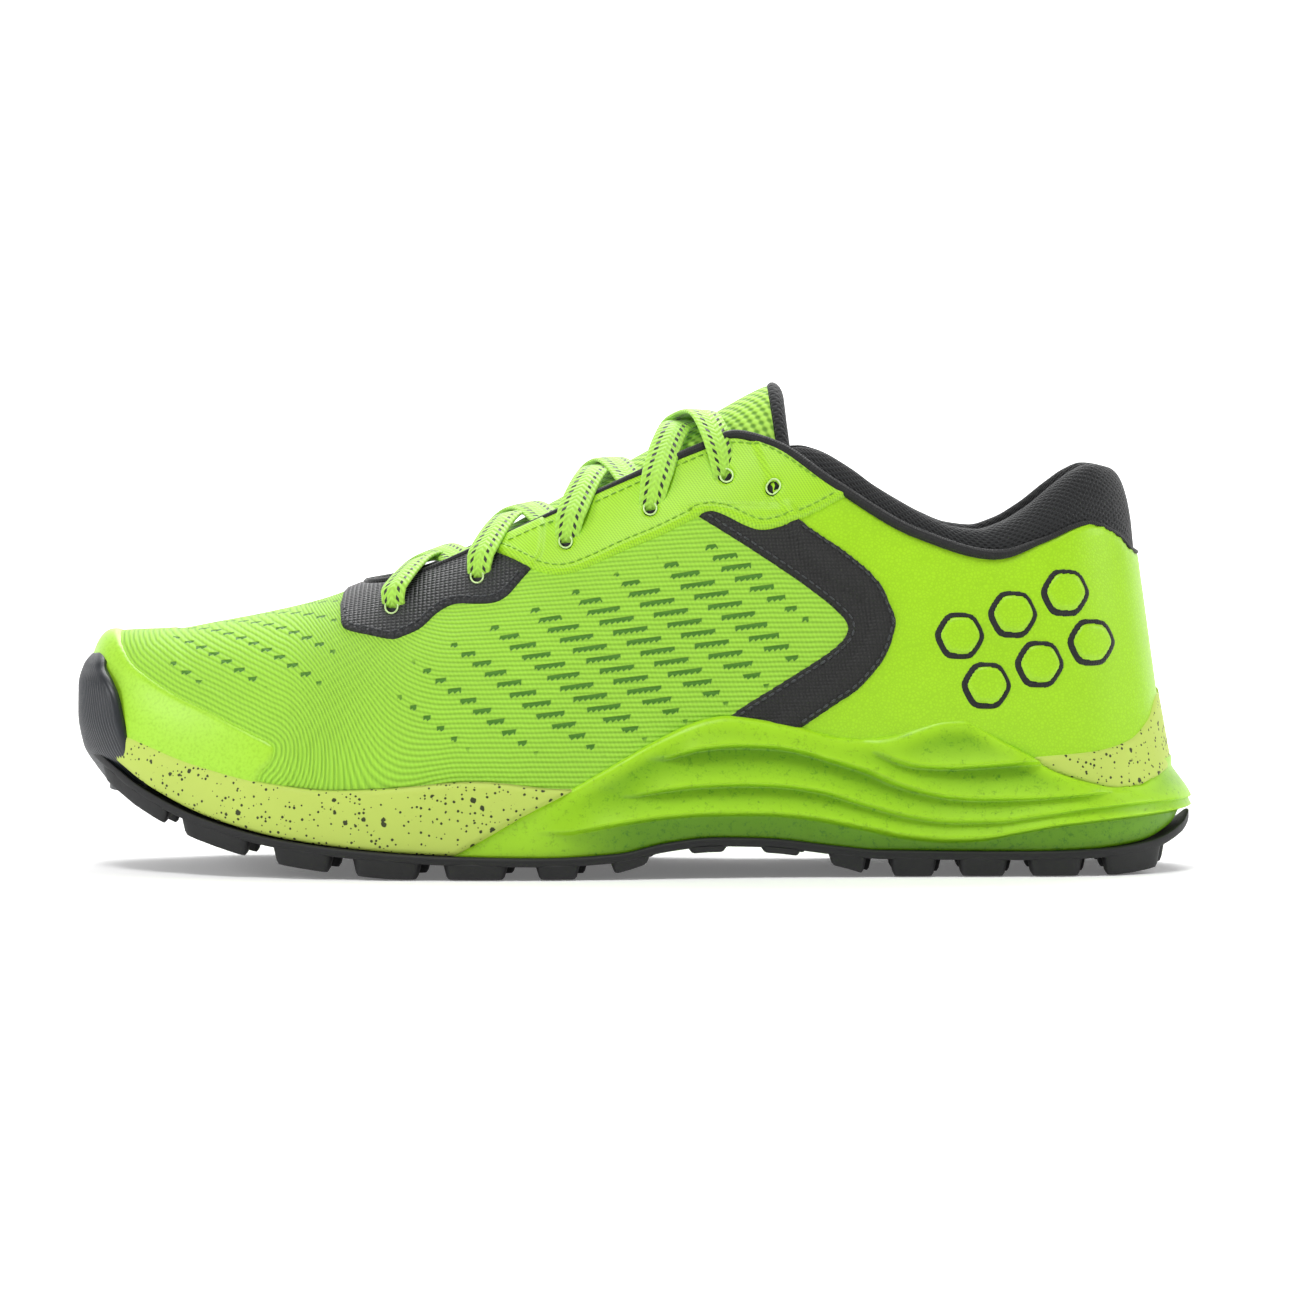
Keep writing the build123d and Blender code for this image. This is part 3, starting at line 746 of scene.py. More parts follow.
@dataclass(frozen=True)
class Twill(Finish):
    """Fine twill: slanted wales across a tight weave."""

    wale: float = 1.1

    def pattern(self, w: Weaver) -> tuple[bpy.types.NodeSocket, bpy.types.NodeSocket]:
        """Wales lean 60 degrees, broken by the weft."""
        wale = w.wave(w.math("MULTIPLY_ADD", w.v, 0.6, w.u), self.wale)
        weft = w.wave(w.v, self.wale * 0.7)
        height = w.math("MULTIPLY_ADD", weft, 0.4, w.math("MULTIPLY", wale, 0.6))
        return height, w.ramp(height, 0.05, 0.75)


@dataclass(frozen=True)
class Grained(Finish):
    """Embossed synthetic leather: small pebbles with fine creases between them."""

    grain: float = 0.9

    def pattern(self, w: Weaver) -> tuple[bpy.types.NodeSocket, bpy.types.NodeSocket]:
        """Pebbles of the grain's size, with pores a third as big."""
        pebble = w.ramp(w.cells(self.grain, "DISTANCE_TO_EDGE").outputs["Distance"], 0.0, 0.28)
        pore = w.noise(self.grain / 3, 3)
        height = w.math("MULTIPLY_ADD", pore, 0.35, w.math("MULTIPLY", pebble, 0.65))
        return height, w.math("MULTIPLY_ADD", pebble, 0.45, 0.55)


@dataclass(frozen=True)
class Foam(Finish):
    """Moulded EVA foam: a fine skin with shallow pits, and specks of ground foam if it has any."""

    specks: bool = False
    speck: float = 2.6

    def pattern(self, w: Weaver) -> tuple[bpy.types.NodeSocket, bpy.types.NodeSocket]:
        """Pits in the skin; the specks are the hollow colour."""
        pits = w.math("MULTIPLY_ADD", w.noise(0.5, 3), 0.5, w.math("MULTIPLY", w.noise(1.8, 2), 0.5))
        if not self.specks:
            # Painted shade: the mesh's groove depth darkens the colour towards the hollow colour in the
            # grooves.
            return pits, w.math("SUBTRACT", w.ramp(pits, 0.1, 0.5), w.attribute("hollow"), clamp=True)
        spots = []
        for size, rare, widest in ((self.speck, 0.45, 0.34), (self.speck / 2.4, 0.35, 0.4)):
            cells = w.cells(size)
            pick = add_node(w.tree, "SeparateColor", {0: cells.outputs["Color"]}).outputs[0]
            ragged = w.math("MULTIPLY_ADD", w.noise(0.9), 0.3, -0.15)
            radius = w.math("MULTIPLY_ADD", w.ramp(pick, rare, 1.0), widest, ragged)
            spots.append(w.ramp(w.math("SUBTRACT", radius, cells.outputs["Distance"]), 0.0, 0.06))
        spot = w.math("MAXIMUM", *spots)
        return pits, w.math("SUBTRACT", 1.0, w.math("MULTIPLY", spot, 0.95))


@dataclass(frozen=True)
class Rubber(Finish):
    """Moulded carbon rubber: matt from the mould's spark-eroded texture, with painted shade in the low places
    of that texture.
    """

    def pattern(self, w: Weaver) -> tuple[bpy.types.NodeSocket, bpy.types.NodeSocket]:
        """Spark texture, darker in its low places as painted shade, under a slow drift of wear."""
        spark = w.noise(0.45, 4)
        return spark, w.math("MULTIPLY_ADD", w.noise(9, 3), 0.6, w.math("MULTIPLY", spark, 0.4), clamp=True)


@dataclass(frozen=True)
class Spacer(Finish):
    """Spacer mesh: rows of small round holes through a springy knit."""

    hole: float = 2.0

    def pattern(self, w: Weaver) -> tuple[bpy.types.NodeSocket, bpy.types.NodeSocket]:
        """Holes in staggered rows."""
        first = w.math("MULTIPLY", w.wave(w.u, self.hole), w.wave(w.v, self.hole * 0.8))
        shifted_u = w.math("ADD", w.u, self.hole / 2)
        shifted_v = w.math("ADD", w.v, self.hole * 0.4)
        second = w.math("MULTIPLY", w.wave(shifted_u, self.hole), w.wave(shifted_v, self.hole * 0.8))
        hole = w.ramp(w.math("MAXIMUM", first, second), 0.35, 0.85)
        height = w.math("SUBTRACT", 1.0, hole)
        lit = w.math("MULTIPLY", height, 0.75)
        return height, w.math("MULTIPLY_ADD", w.noise(0.4, 2), 0.25, lit, clamp=True)


@dataclass(frozen=True)
class Braid(Finish):
    """Flat braid: a herringbone of plaited yarns, with rows of dark ticks near the edges."""

    tick: float = 2.4
    plait: float = 1.7
    tick_row: float = 2.2

    def pattern(self, w: Weaver) -> tuple[bpy.types.NodeSocket, bpy.types.NodeSocket]:
        """Yarns slant both ways from the middle line, and the ticks sit between middle and edge."""
        out = w.math("ABSOLUTE", w.v)
        yarn = w.wave(w.math("MULTIPLY_ADD", out, 0.9, w.u), self.plait)
        cross = w.wave(out, self.plait * 0.7)
        height = w.math("MULTIPLY_ADD", cross, 0.35, w.math("MULTIPLY", yarn, 0.65))
        row = w.ramp(w.math("ABSOLUTE", w.math("SUBTRACT", out, self.tick_row)), 0.7, 0.4)
        beat = w.ramp(w.wave(w.math("MULTIPLY_ADD", out, 0.9, w.u), self.tick), 0.45, 0.65)
        mark = w.math("MULTIPLY", row, beat)
        shade = w.math("MULTIPLY_ADD", height, 0.25, 0.75)
        return height, w.math("MULTIPLY", shade, w.math("MULTIPLY_ADD", mark, -1.0, 1.0), clamp=True)


@dataclass(frozen=True)
class GlowingPaper(Finish):
    """Matt white paper that glows by itself: painted light, dim under the shoe and brighter where it curves
    up behind.
    """

    def material(self) -> bpy.types.Material:
        """Returns the material, whose painted glow grows with distance behind the shoe."""
        made = super().material()
        tree = made.node_tree
        shader = next(node for node in tree.nodes if node.type == "BSDF_PRINCIPLED")
        parts = add_node(tree, "SeparateXYZ", {0: add_node(tree, "TexCoord").outputs["Object"]})
        # Painted light: the emission stands in for light falling on the paper, dim under the shoe and full on
        # the wall behind.
        glow = add_node(tree, "MapRange", {"Value": parts.outputs[1], "From Min": 0.05, "From Max": 1.6,
                                           "To Min": 0.16, "To Max": 1.0}, interpolation_type="SMOOTHSTEP")
        tree.links.new(glow.outputs[0], shader.inputs["Emission Strength"])
        shader.inputs["Emission Color"].default_value = linear(self.colour)
        return made


# Engineered knit of bright polyester yarn: matt, with soft light along the ribs and shade under each.
KNIT = Knit("lime_knit", "#A6DF3C", "#3E7A0A", 0.72, 0.3, 0.15, mottle=0.05)
# Thermoplastic film pressed over the toe: smooth, so the light pools on it in one soft patch.
TOE_FILM = Finish("lime_toe_film", "#A8DE32", "#96CE20", 0.42, 0.03, ior=1.5, coat=0.1)
# Embossed polyurethane leather: fine pebbles, a low broad shine.
QUARTER = Grained("lime_grained_leather", "#A6DC18", "#8CC40C", 0.4, 0.035, ior=1.48)
# Coated polyester twill on the eyestays: slanted wales that catch light in thin lines.
EYESTAY = Twill("lime_twill", "#A9E01E", "#8BC412", 0.45, 0.05, 0.1, wale=0.8)
# Ballistic nylon: coarse square weave, near black, with a slight shine on each thread.
BALLISTIC = Woven("black_ballistic_nylon", "#1D1F22", "#08090A", 0.5, 0.28, 0.1, thread=1.15)
# Nylon webbing of the side stripe: fine cross ribs.
WEBBING = Woven("black_webbing", "#171716", "#070806", 0.6, 0.2, 0.1, thread=0.95, slant=0.15)
# Spacer mesh round the collar: black and matt, its holes darker still.
COLLAR_MESH = Spacer("black_spacer_mesh", "#1B1D1F", "#040505", 0.75, 0.5, 0.08)
# Polyester binding tape, folded and stitched over the edge.
BINDING = Woven("black_binding_tape", "#111213", "#070808", 0.65, 0.12, 0.15, thread=0.7)
# Light-coloured knit of the tongue, with slanted openings.
TONGUE_KNIT = Twill("pale_lime_tongue_knit", "#B2E650", "#5E9414", 0.7, 0.3, 0.3, wale=2.2)
# Flat polyester braid: bright yarns, slightly silky.
LACE = Braid("lime_lace_braid", "#AEE84A", "#10160A", 0.55, 0.22, 0.3)
# Speckled EVA: pale lime with ground green specks, matt.
SPECKLED = Foam("speckled_lime_foam", "#BCD05C", "#141A08", 0.6, 0.05, specks=True, ior=1.45)
# Plain moulded EVA: a smooth tight skin with a soft low shine, darkened with painted shade where the mesh
# marks its grooves.
CRADLE = Foam("lime_cradle_foam", "#A2D81C", "#4E8604", 0.4, 0.05, ior=1.45)
# Carbon rubber of the outsole: near black and dry.
OUTSOLE = Rubber("black_outsole_rubber", "#111214", "#08090A", 0.62, 0.06, ior=1.52)
# Slate rubber of the bumper: a shade lighter, with a faint shine on each rib.
BUMPER = Rubber("slate_bumper_rubber", "#272B31", "#1C1F23", 0.38, 0.04, ior=1.52)
# Pressed fibre board and stiffener sheet, unseen.
BOARD = Finish("fibre_board", "#C9C2AE", "#A79F88", 0.8, 0.05)
# Brushed tricot over the insole.
SOCKLINER = Woven("black_sockliner_tricot", "#2E3133", "#121314", 0.8, 0.1, 0.3, thread=0.9)
# Bonded polyester thread: thicker than the cloth's own threads, so that each stitch stands clear.
LIME_THREAD = Finish("lime_thread", "#7FB51A", "#5C8A0C", 0.5, 0.05, 0.2)
BLACK_THREAD = Finish("black_thread", "#3A3D40", "#191A1C", 0.5, 0.05, 0.2)
# Painted rim of the punched eyelet: pale and smooth.
EYELET_RIM = Finish("pale_eyelet_rim", "#D3EFA8", "#B4D87C", 0.4, 0.02)
# Shrunk acetate film over the lace ends: clear over the braid, with a sharp shine.
LACE_TIP = Finish("clear_lace_tip", "#CFE6B4", "#A9C58A", 0.25, 0.02, coat=0.6)


# ---------------------------------------------------------------- the upper's outlines
BELOW_TOPLINE = Outline(smooth_run(TOPLINE) + [(190, 70), (190, -20), (-200, -20), (-200, 130), (-72, 130)])
TOE_CAP = Outline(smooth_run([(-138, 67), (-137.1, 60.9), (-136, 58.4), (-133.5, 54.8), (-129.3, 51.7),
                              (-122.1, 47.5), (-112.8, 43.4), (-105.1, 39.8), (-99.5, 37.2), (-95, 35),
                              (-94.1, 33.1), (-95.4, 29.5), (-98.4, 25.7), (-101, 14)], 4)
                  + [(-170, 14), (-170, 67)])
TOE_PUFF = Outline(smooth_run([(-126, 80), (-120, 56), (-104.6, 46), (-96.4, 42.9), (-88.7, 39.3), (-85, 36),
                               (-88.1, 30.6), (-93, 16)], 4) + [(-170, 10), (-170, 80)])
PATCH = Outline([(-70, 110), (-75, 79)]
                + smooth_run([(-77.6, 73), (-77.9, 70.4), (-77.2, 66), (-75.3, 64.5), (-69.6, 63.4),
                              (-63.6, 62.4), (-60.6, 63.2), (-56, 65.3), (-52.3, 68.7), (-49.3, 70.7),
                              (-46.2, 71.7), (-40.9, 71.7), (-36.4, 72.1), (-33, 73.9), (-29.6, 77.7),
                              (-24, 84)], 4) + [(-22, 110)])
STAY_EDGE = [(-39, 89), (-38, 86.2), (-36.3, 84.6), (-32.2, 83.2), (-27, 80.9), (-21.4, 79.5), (-16.3, 79.8),
             (-10.1, 82.1), (-2.1, 85.8), (7.4, 89.7), (17, 94.4), (20.6, 95.7), (24.2, 94.7), (29.9, 91.9),
             (34, 90.8), (38.7, 91.6), (46.4, 94.2), (53.6, 98), (60, 101), (70, 105)]
EYESTAY_CUT = Outline(smooth_run(STAY_EDGE, 4) + [(70, 130), (-39, 130)])
STRIPE_OUTER = [(42, 97), (44.9, 92.7), (56.1, 85.1), (64.6, 77.5), (69, 68.2), (69.3, 65.9), (66.4, 57.4),
                (59.7, 49.4), (53.9, 45.4), (44.5, 39.1), (36, 33)]
STRIPE_INNER = [(13, 97), (19, 93.8), (31.6, 86), (44.9, 77.1), (53.9, 70), (57, 65.5), (53.9, 60.6),
                (43.2, 53.4), (30.6, 45.8), (25.3, 42.1), (16, 35)]
STRIPE_CUT = Outline(smooth_run(STRIPE_OUTER, 4) + smooth_run(STRIPE_INNER, 4)[::-1])
QUARTER_CUT = Outline(smooth_run([(30, 118), (45, 84), (60, 73), (63, 66), (56, 55), (42, 45), (30, 34),
                                  (24, 16)], 4) + [(190, 16), (190, 118)])
SOLE_TOP = Line([(-150, 36), (-141, 29.5), (-130.5, 22.4), (-112.9, 14.8), (-92.3, 9.9), (-73, 7.6),
                 (-49, 6.1), (-22.7, 5.6), (-3.7, 6.6), (9, 9.3), (21.7, 10.6), (34.4, 10.3), (54.8, 8),
                 (66, 6.9), (107.7, 6.5), (122.8, 6.9), (137.8, 8.6), (146.9, 12.5), (150, 16)])
CORE_RIM = Line([(-150, 41), (-137, 36.4), (-118, 29.5), (-97.4, 24.8), (-82, 23.3), (-64.8, 24), (-42, 25.7),
                 (-18, 23.7), (10, 24.5), (50, 27), (90, 30), (107.7, 31.8), (122.7, 33.3), (132, 35.8),
                 (138.6, 41.2), (142.6, 47.6), (150, 49)])
FRAME_TOP = Line([(-49, 6.1), (-38.6, 12), (-29.1, 17.5), (-17, 23.4), (-8.8, 27.9), (1.4, 33.5), (9, 37.5),
                  (15.4, 40.4), (20.4, 41.9), (25.5, 42.6), (31.2, 42), (45.1, 39.5), (56.3, 36.8),
                  (64.6, 36.5), (69.9, 37.2), (78.9, 39.8), (85, 41.2), (89.9, 41.4), (92.5, 40.2),
                  (100.1, 35.6), (109.1, 30.6), (115.2, 27.2), (122.7, 24.6), (130.3, 23.2), (136.3, 23.8),
                  (141.6, 26.4), (146, 29.4), (151, 30)])


def facing(low: float, high: float) -> list[tuple[Side, tuple[float, float]]]:
    """Each side of the shoe with the same span of section angles, as seen from that side."""
    return [(Side.LATERAL, (low, high)), (Side.MEDIAL, (math.pi - high, math.pi - low))]


def knit_lift(x: Array, z: Array) -> Array:
    """Height of the knit over the form: it rises where the toe puff stiffens it."""
    return 0.45 * step_up(TOE_PUFF.depth(x, z), -0.7, 0.7)


def under_topline(outline: Outline, x: Array, z: Array) -> Array:
    """Depth inside an outline and below the topline."""
    return np.minimum(outline.depth(x, z), BELOW_TOPLINE.depth(x, z))


def below_eyelets(depth: Array, x: Array, z: Array, radius: float) -> Array:
    """A depth with the eyelets' holes taken out of it."""
    for ex, ez in EYELETS:
        depth = np.minimum(depth, np.hypot(x - ex, z - ez) - radius)
    return depth


def pile(x: Array, z: Array, thickness: float, *outlines: Outline) -> Array:
    """Height of the knit and of the layers already laid on it."""
    height = knit_lift(x, z)
    for outline in outlines:
        height = height + thickness * round_over(outline.depth(x, z), 1.2)
    return height


@dataclass
class Upper:
    """The knit, and what is pressed or stitched on it."""

    knit: float = 1.2
    film: float = 0.7
    patch: float = 0.8
    leather: float = 0.85
    tape: float = 0.8
    stay: float = 1.0
    hole: float = 1.6
    stitch_pitch: float = 2.3
    pieces: list[bpy.types.Object] = field(default_factory=list)

    def build(self) -> list[bpy.types.Object]:
        """Builds every piece of the upper and returns them."""
        self._knit()
        self._film()
        self._patch()
        self._quarter()
        self._stripes()
        self._eyestays()
        self._stitching()
        return self.pieces

    def _add(self, piece: bpy.types.Object, slot: str, *nodes: str) -> None:
        """Keeps a piece of the shoe, and hides the nodes that it stands for."""
        self.pieces.append(settle(piece, slot, *nodes))

    def _knit(self) -> None:
        """The knit shell, with its ribs and the field of openings."""
        def course(x: Array, z: Array, v: Array) -> dict[str, Array]:
            """Ribs follow the toe cap's edge in front, and the sole's line behind."""
            share = step_up(x, -92, -45)
            near = -TOE_CAP.depth(x, z)
            ahead = x + 0.42 * (z - 60)
            low = 30 + 0.42 * np.maximum(x + 5, 0)
            high = 62 + 0.36 * (x + 60)
            side = step_up(x, -74, -8) * step_up(-ahead, -54, -34)
            side = side * step_up(z - low, 0, 16) * step_up(high - z, 0, 12)
            toe = 0.3 * step_up(x, -128, -116) * step_up(-x, 74, 86) * step_up(z, 48, 54)
            return {"course": near * (1 - share) + v * share, "opening": np.maximum(side, toe)}

        cut = lambda x, z: below_eyelets(BELOW_TOPLINE.depth(x, z), x, z, self.hole)
        lift = lambda x, z, d: knit_lift(x, z) * round_over(d + 0.6, 1.0)
        self._add(skin_piece("knit_upper_skin", KNIT, (-147, 143), (0, math.pi), cut, lift, self.knit, 1.0,
                             course), "knit", "knit_upper")

    def _film(self) -> None:
        """The film over the toe."""
        lift = lambda x, z, d: knit_lift(x, z) - 0.1 + self.film * round_over(d, 1.6)
        self._add(skin_piece("toe_film", TOE_FILM, (-147, -90), (0, math.pi), TOE_CAP.depth, lift,
                             lambda x, z: 0.15 - knit_lift(x, z), 0.8), "green_film", "toe_overlay")

    def _patch(self) -> None:
        """The tough cloth round the front of the throat."""
        cut = lambda x, z: below_eyelets(under_topline(PATCH, x, z), x, z, self.hole)
        lift = lambda x, z, d: self.patch * round_over(d, 0.9)
        angles = (0.5, math.pi - 0.5)
        self._add(skin_piece("throat_patch", BALLISTIC, (-80, -20), angles, cut, lift, 0.1, 0.7),
                  "black_woven", "throat_reinforcement")

    def _quarter(self) -> None:
        """The grained leather that wraps the heel, with a raised ornament on each side."""
        cut = lambda x, z: under_topline(QUARTER_CUT, x, z)
        lift = lambda x, z, d: self.leather * round_over(d, 1.2)
        self._add(skin_piece("rear_quarter_skin", QUARTER, (20, 143), (0, math.pi), cut, lift, 0.1, 1.0),
                  "grain_synthetic", "rear_quarter")
        cells = [(86, 63), (100, 68.5), (114, 74), (93, 50), (107, 55.5), (121, 61)]
        for part, finish, size, base, rise, slot in (("edge", BINDING, 6.2, 0.75, 0.5, "black_woven"),
                                                     ("face", QUARTER, 4.9, 1.0, 0.8, "grain_synthetic")):
            for side, angles in facing(0.15, 0.95):
                def cut(x: Array, z: Array, size: float = size) -> Array:
                    """Depth inside the nearest cell of the honeycomb."""
                    depths = []
                    for cx, cz in cells:
                        across, up = x - cx, z - cz
                        slants = [np.abs(across * math.cos(a) + up * math.sin(a))
                                  for a in (0.48, 0.48 + math.pi / 3, 0.48 + 2 * math.pi / 3)]
                        depths.append(size - sum(reach ** 8 for reach in slants) ** (1 / 8))
                    return np.max(depths, axis=0)
                lift = lambda x, z, d, base=base, rise=rise: base + rise * round_over(d, 1.4)
                self._add(skin_piece(f"heel_cell_{part}_{side.value}", finish, (76, 132), angles, cut,
                                     lift, -base + 0.25, 0.42), slot)

    def _stripes(self) -> None:
        """The bent stripe on each side, over the knit and the leather."""
        cut = lambda x, z: under_topline(STRIPE_CUT, x, z)
        lift = lambda x, z, d: pile(x, z, self.leather, QUARTER_CUT) - 0.1 + self.tape * round_over(d, 0.9)
        for side, angles in facing(0.0, 1.35):
            self._add(skin_piece(f"side_stripe_skin_{side.value}", WEBBING, (12, 74), angles, cut, lift, 0.1,
                                 0.8), "black_woven", f"side_stripe_{side.value}")

    def stay_lift(self, x: Array, z: Array, d: Array) -> Array:
        """Height of the eyestay's face, which has a rolled edge and lies over every other layer.

        Args:
            x: side-view x of the points.
            z: side-view z of the points.
            d: depth of the points inside the piece's own outline.

        Returns:
            Height over the form.
        """
        under = pile(x, z, self.leather, QUARTER_CUT)
        under = np.maximum(under, self.patch * round_over(PATCH.depth(x, z), 1.0))
        under = under + self.tape * round_over(STRIPE_CUT.depth(x, z), 1.4)
        edge = EYESTAY_CUT.depth(x, z)
        roll = 0.35 * np.exp(-((edge - 1.1) / 0.7) ** 2)
        return under - 0.1 + self.stay * round_over(d, 1.1) + roll

    def _eyestays(self) -> None:
        """The eyestays with their holes."""
        cut = lambda x, z: below_eyelets(under_topline(EYESTAY_CUT, x, z), x, z, self.hole)
        for side, angles in facing(0.5, 1.5):
            stay = skin_piece(f"eyestay_skin_{side.value}", EYESTAY, (-41, 62), angles, cut, self.stay_lift,
                              0.1, 0.65)
            self._add(stay, "twill_synthetic", f"eyestay_{side.value}")

    def _stitching(self) -> None:
        """Rows of stitches inside the edges of the eyestays, the stripes and the patch."""
        stay = lambda x, z: self.stay_lift(x, z, np.full(np.shape(x), 3.0))
        stripe = lambda x, z: pile(x, z, self.leather, QUARTER_CUT) + self.tape - 0.1
        patch = lambda x, z: np.full(np.shape(x), self.patch)
        patch_run = [(-76.4, 70), (-75.6, 66.8), (-74.2, 65.8), (-69.4, 64.9), (-63.8, 63.9), (-61, 64.8),
                     (-56.8, 66.7), (-53, 70.1), (-49.8, 72.1), (-46.4, 73.2), (-41, 73.2), (-37, 73.6),
                     (-34, 75.2), (-30.8, 78.8), (-29.4, 80.6)]
        rows = [("eyestay_edge", LIME_THREAD, offset_run(STAY_EDGE[1:-2], 2.0), stay, "twill_synthetic"),
                ("stripe_outer", BLACK_THREAD, offset_run(STRIPE_OUTER[1:-1], -1.3), stripe, "black_woven"),
                ("stripe_inner", BLACK_THREAD, offset_run(STRIPE_INNER[1:-1], 1.3), stripe, "black_woven"),
                ("patch_edge", BLACK_THREAD, smooth_run(patch_run, 4), patch, "black_woven")]
        top = [(x, z - 2.6) for x, z in smooth_run(TOPLINE) if -35 < x < 50]
        rows.append(("eyestay_top", LIME_THREAD, top, stay, "twill_synthetic"))
        for name, finish, run, lift, slot in rows:
            for side in Side:
                self._add(stitch_row(f"stitches_{name}_{side.value}", finish, run, side, lift,
                                     self.stitch_pitch), slot)


def offset_run(points: Points, distance: float) -> list[tuple[float, float]]:
    """A smooth run moved sideways, to the left of its direction when distance is positive."""
    run = np.array(smooth_run(points, 6))
    ahead = np.gradient(run, axis=0)
    ahead /= np.linalg.norm(ahead, axis=1, keepdims=True)
    return [tuple(p) for p in run + distance * np.stack([-ahead[:, 1], ahead[:, 0]], -1)]


def stitch_row(name: str, finish: Finish, run: Points, side: Side, lift: Callable[[Array, Array], Array],
               pitch: float) -> bpy.types.Object:
    """A row of stitches, each a small rounded bead of thread, half sunk in the cloth.

    Args:
        name: the piece's name.
        finish: the thread.
        run: side-view line of the row.
        side: side of the shoe.
        lift: height of the cloth's face at (x, z).
        pitch: from one stitch to the next.

    Returns:
        All the stitches as one piece.
    """
    flat = np.array(run, float)
    x, z = flat[:, 0], flat[:, 1]
    path = LAST.on(x, z, side, lift(x, z) + 0.08)
    normal = LAST.on(x, z, side, lift(x, z) + 1.08) - path
    length = lengths_along(path)
    reach, thick = 0.36 * pitch, 0.3
    rings = np.array([(-1.0, 0.35), (-0.6, 0.9), (0.0, 1.0), (0.6, 0.9), (1.0, 0.35)])
    beads = []
    for at in np.arange(0.5 * pitch, length[-1], pitch):
        spot = [np.interp([at - reach, at + reach], length, path[:, k]) for k in range(3)]
        a, b = np.array([s[0] for s in spot]), np.array([s[1] for s in spot])
        up = np.array([np.interp(at, length, normal[:, k]) for k in range(3)])
        stops = np.array([(a + b) / 2 + (b - a) / 2 * t for t, _ in rings])
        section = np.stack([ring(thick * size, 6, 0.8) for _, size in rings])
        beads.append(swept(stops, section, up / np.linalg.norm(up)))
    return make_object(name, *joined(beads), finish)


def topline_at(share: Array, line: Line, inset: float) -> Array:
    """Height at which the form's leaning sections meet a side-view line.

    Args:
        share: 0 at the toe to 1 at the heel.
        line: height over side-view x.
        inset: how far inside the upper's outer face the sections lie.

    Returns:
        The height at each share.
    """
    x = LAST.toe + inset + share * (LAST.heel - LAST.toe - 2 * inset)
    z = line(x)
    for _ in range(12):
        z = 0.5 * z + 0.5 * line(x - LAST.lean_at(x) * (z - LAST.bed(x)))
    return z


@dataclass
class Collar:
    """Binding round the whole topline, and the padded roll of the collar."""

    front: float = 38.0
    roll: float = 11.0
    lining: float = 5.0
    top: Line = Line([(36, 112), (44, 113), (49.4, 111.8), (57.4, 107.6), (63.4, 103.2), (70.4, 98.8),
                      (77.4, 94.9), (84.3, 92.2), (91.3, 91.4), (98.3, 93.4), (105.3, 97.6), (112.3, 103.4),
                      (117, 106.8), (121, 108.4), (126, 107.6), (130, 104)])
    low: Line = Line([(36, 62), (60, 44), (84, 32), (110, 29), (140, 29)])
    edge: Line = Line(TOPLINE)

    def build(self) -> list[bpy.types.Object]:
        """Builds the binding and the collar and returns them."""
        return [self._binding(), self._collar()]

    def _binding(self) -> bpy.types.Object:
        """A rounded black edge along the whole topline, thicker round the collar."""
        first = (TOPLINE[0][0] + 1 - LAST.toe) / (LAST.heel - LAST.toe)
        share = first + (1 - first) * np.sin(np.linspace(0, math.pi / 2, 230))
        z = topline_at(share, self.edge, 0)
        halves = [LAST.wall(share, z + 0.2, side, 0.9 - 0.7 * step_up(share, 0.83, 0.95)) for side in Side]
        path = np.concatenate([halves[0], halves[1][-2::-1]])
        inner = [LAST.wall(share, z + 0.2, side, -1.0) for side in Side]
        up = path - np.concatenate([inner[0], inner[1][-2::-1]])
        size = (0.95 + 0.5 * step_up(path[:, 0], -10, 12)) * (1 - 0.55 * step_up(path[:, 0], 92, 116))
        points, faces, uv = swept(path, ring(1.0, 12, 1.15), up, size)
        piece = make_object("topline_piping", points, faces, BINDING, uv)
        return settle(piece, "black_binding", "topline_binding")

    def _collar(self) -> bpy.types.Object:
        """The collar: up from under the leather, over a full roll, and down the inside."""
        first = (self.front - LAST.toe) / (LAST.heel - LAST.toe)
        share = first + (1 - first) * np.sin(np.linspace(0, math.pi / 2, 130))
        edge = topline_at(share, self.edge, 0)
        crown = topline_at(share, self.top, self.roll / 2)
        low = topline_at(share, self.low, self.roll)
        full = step_up(share, first - 0.02, first + 0.09)
        start = np.maximum(edge - 1, crown - 14)
        thick = (self.roll * (0.35 + 0.65 * full))[:, None]
        turn = np.linspace(0, math.pi, 28)[None]
        over = 0.5 * thick * (1 - np.sign(np.cos(turn)) * np.abs(np.cos(turn)) ** 0.85)
        rise = start[:, None] + (crown - start)[:, None] * np.sin(turn) ** 0.85
        down = np.linspace(0, 1, 40)[None, 1:]
        inner_z = start[:, None] + (np.minimum(low, start - 4) - start)[:, None] * down
        bulge = 1.6 * np.sin(math.pi * np.minimum(down * 2.2, 1)) * full[:, None]
        inner = thick + bulge - (thick - self.lining) * step_up(down, 0.08, 0.55)
        hem = np.linspace(0, 1, 14)[None]
        hem_z = inner_z[:, -1:] + (start[:, None] - inner_z[:, -1:]) * hem
        hem_in = 1.3 * (1 - hem ** 3) + 0 * hem_z
        inset = np.concatenate([over, inner, hem_in], 1)
        z = np.concatenate([rise, inner_z, hem_z], 1)
        points = [LAST.wall(share[:, None], z, side, -inset) for side in Side]
        grid = np.concatenate([points[0], points[1][-2::-1]])
        rows, columns = grid.shape[:2]
        faces = grid_faces(rows, columns, wrap=True)
        faces += [list(range(columns)), [(rows - 1) * columns + j for j in reversed(range(columns))]]
        around = lengths_along(grid[:, 14])
        climb = np.linalg.norm(np.diff(grid, axis=1), axis=2)
        up = np.concatenate([np.zeros((rows, 1)), np.cumsum(climb, 1)], 1)
        uv = np.stack([np.repeat(around, columns), up.ravel()], -1)
        piece = make_object("collar_roll", grid.reshape(-1, 3), faces, COLLAR_MESH, uv)
        settle(piece, "black_mesh", "collar_foam", "collar_lining")
        return piece


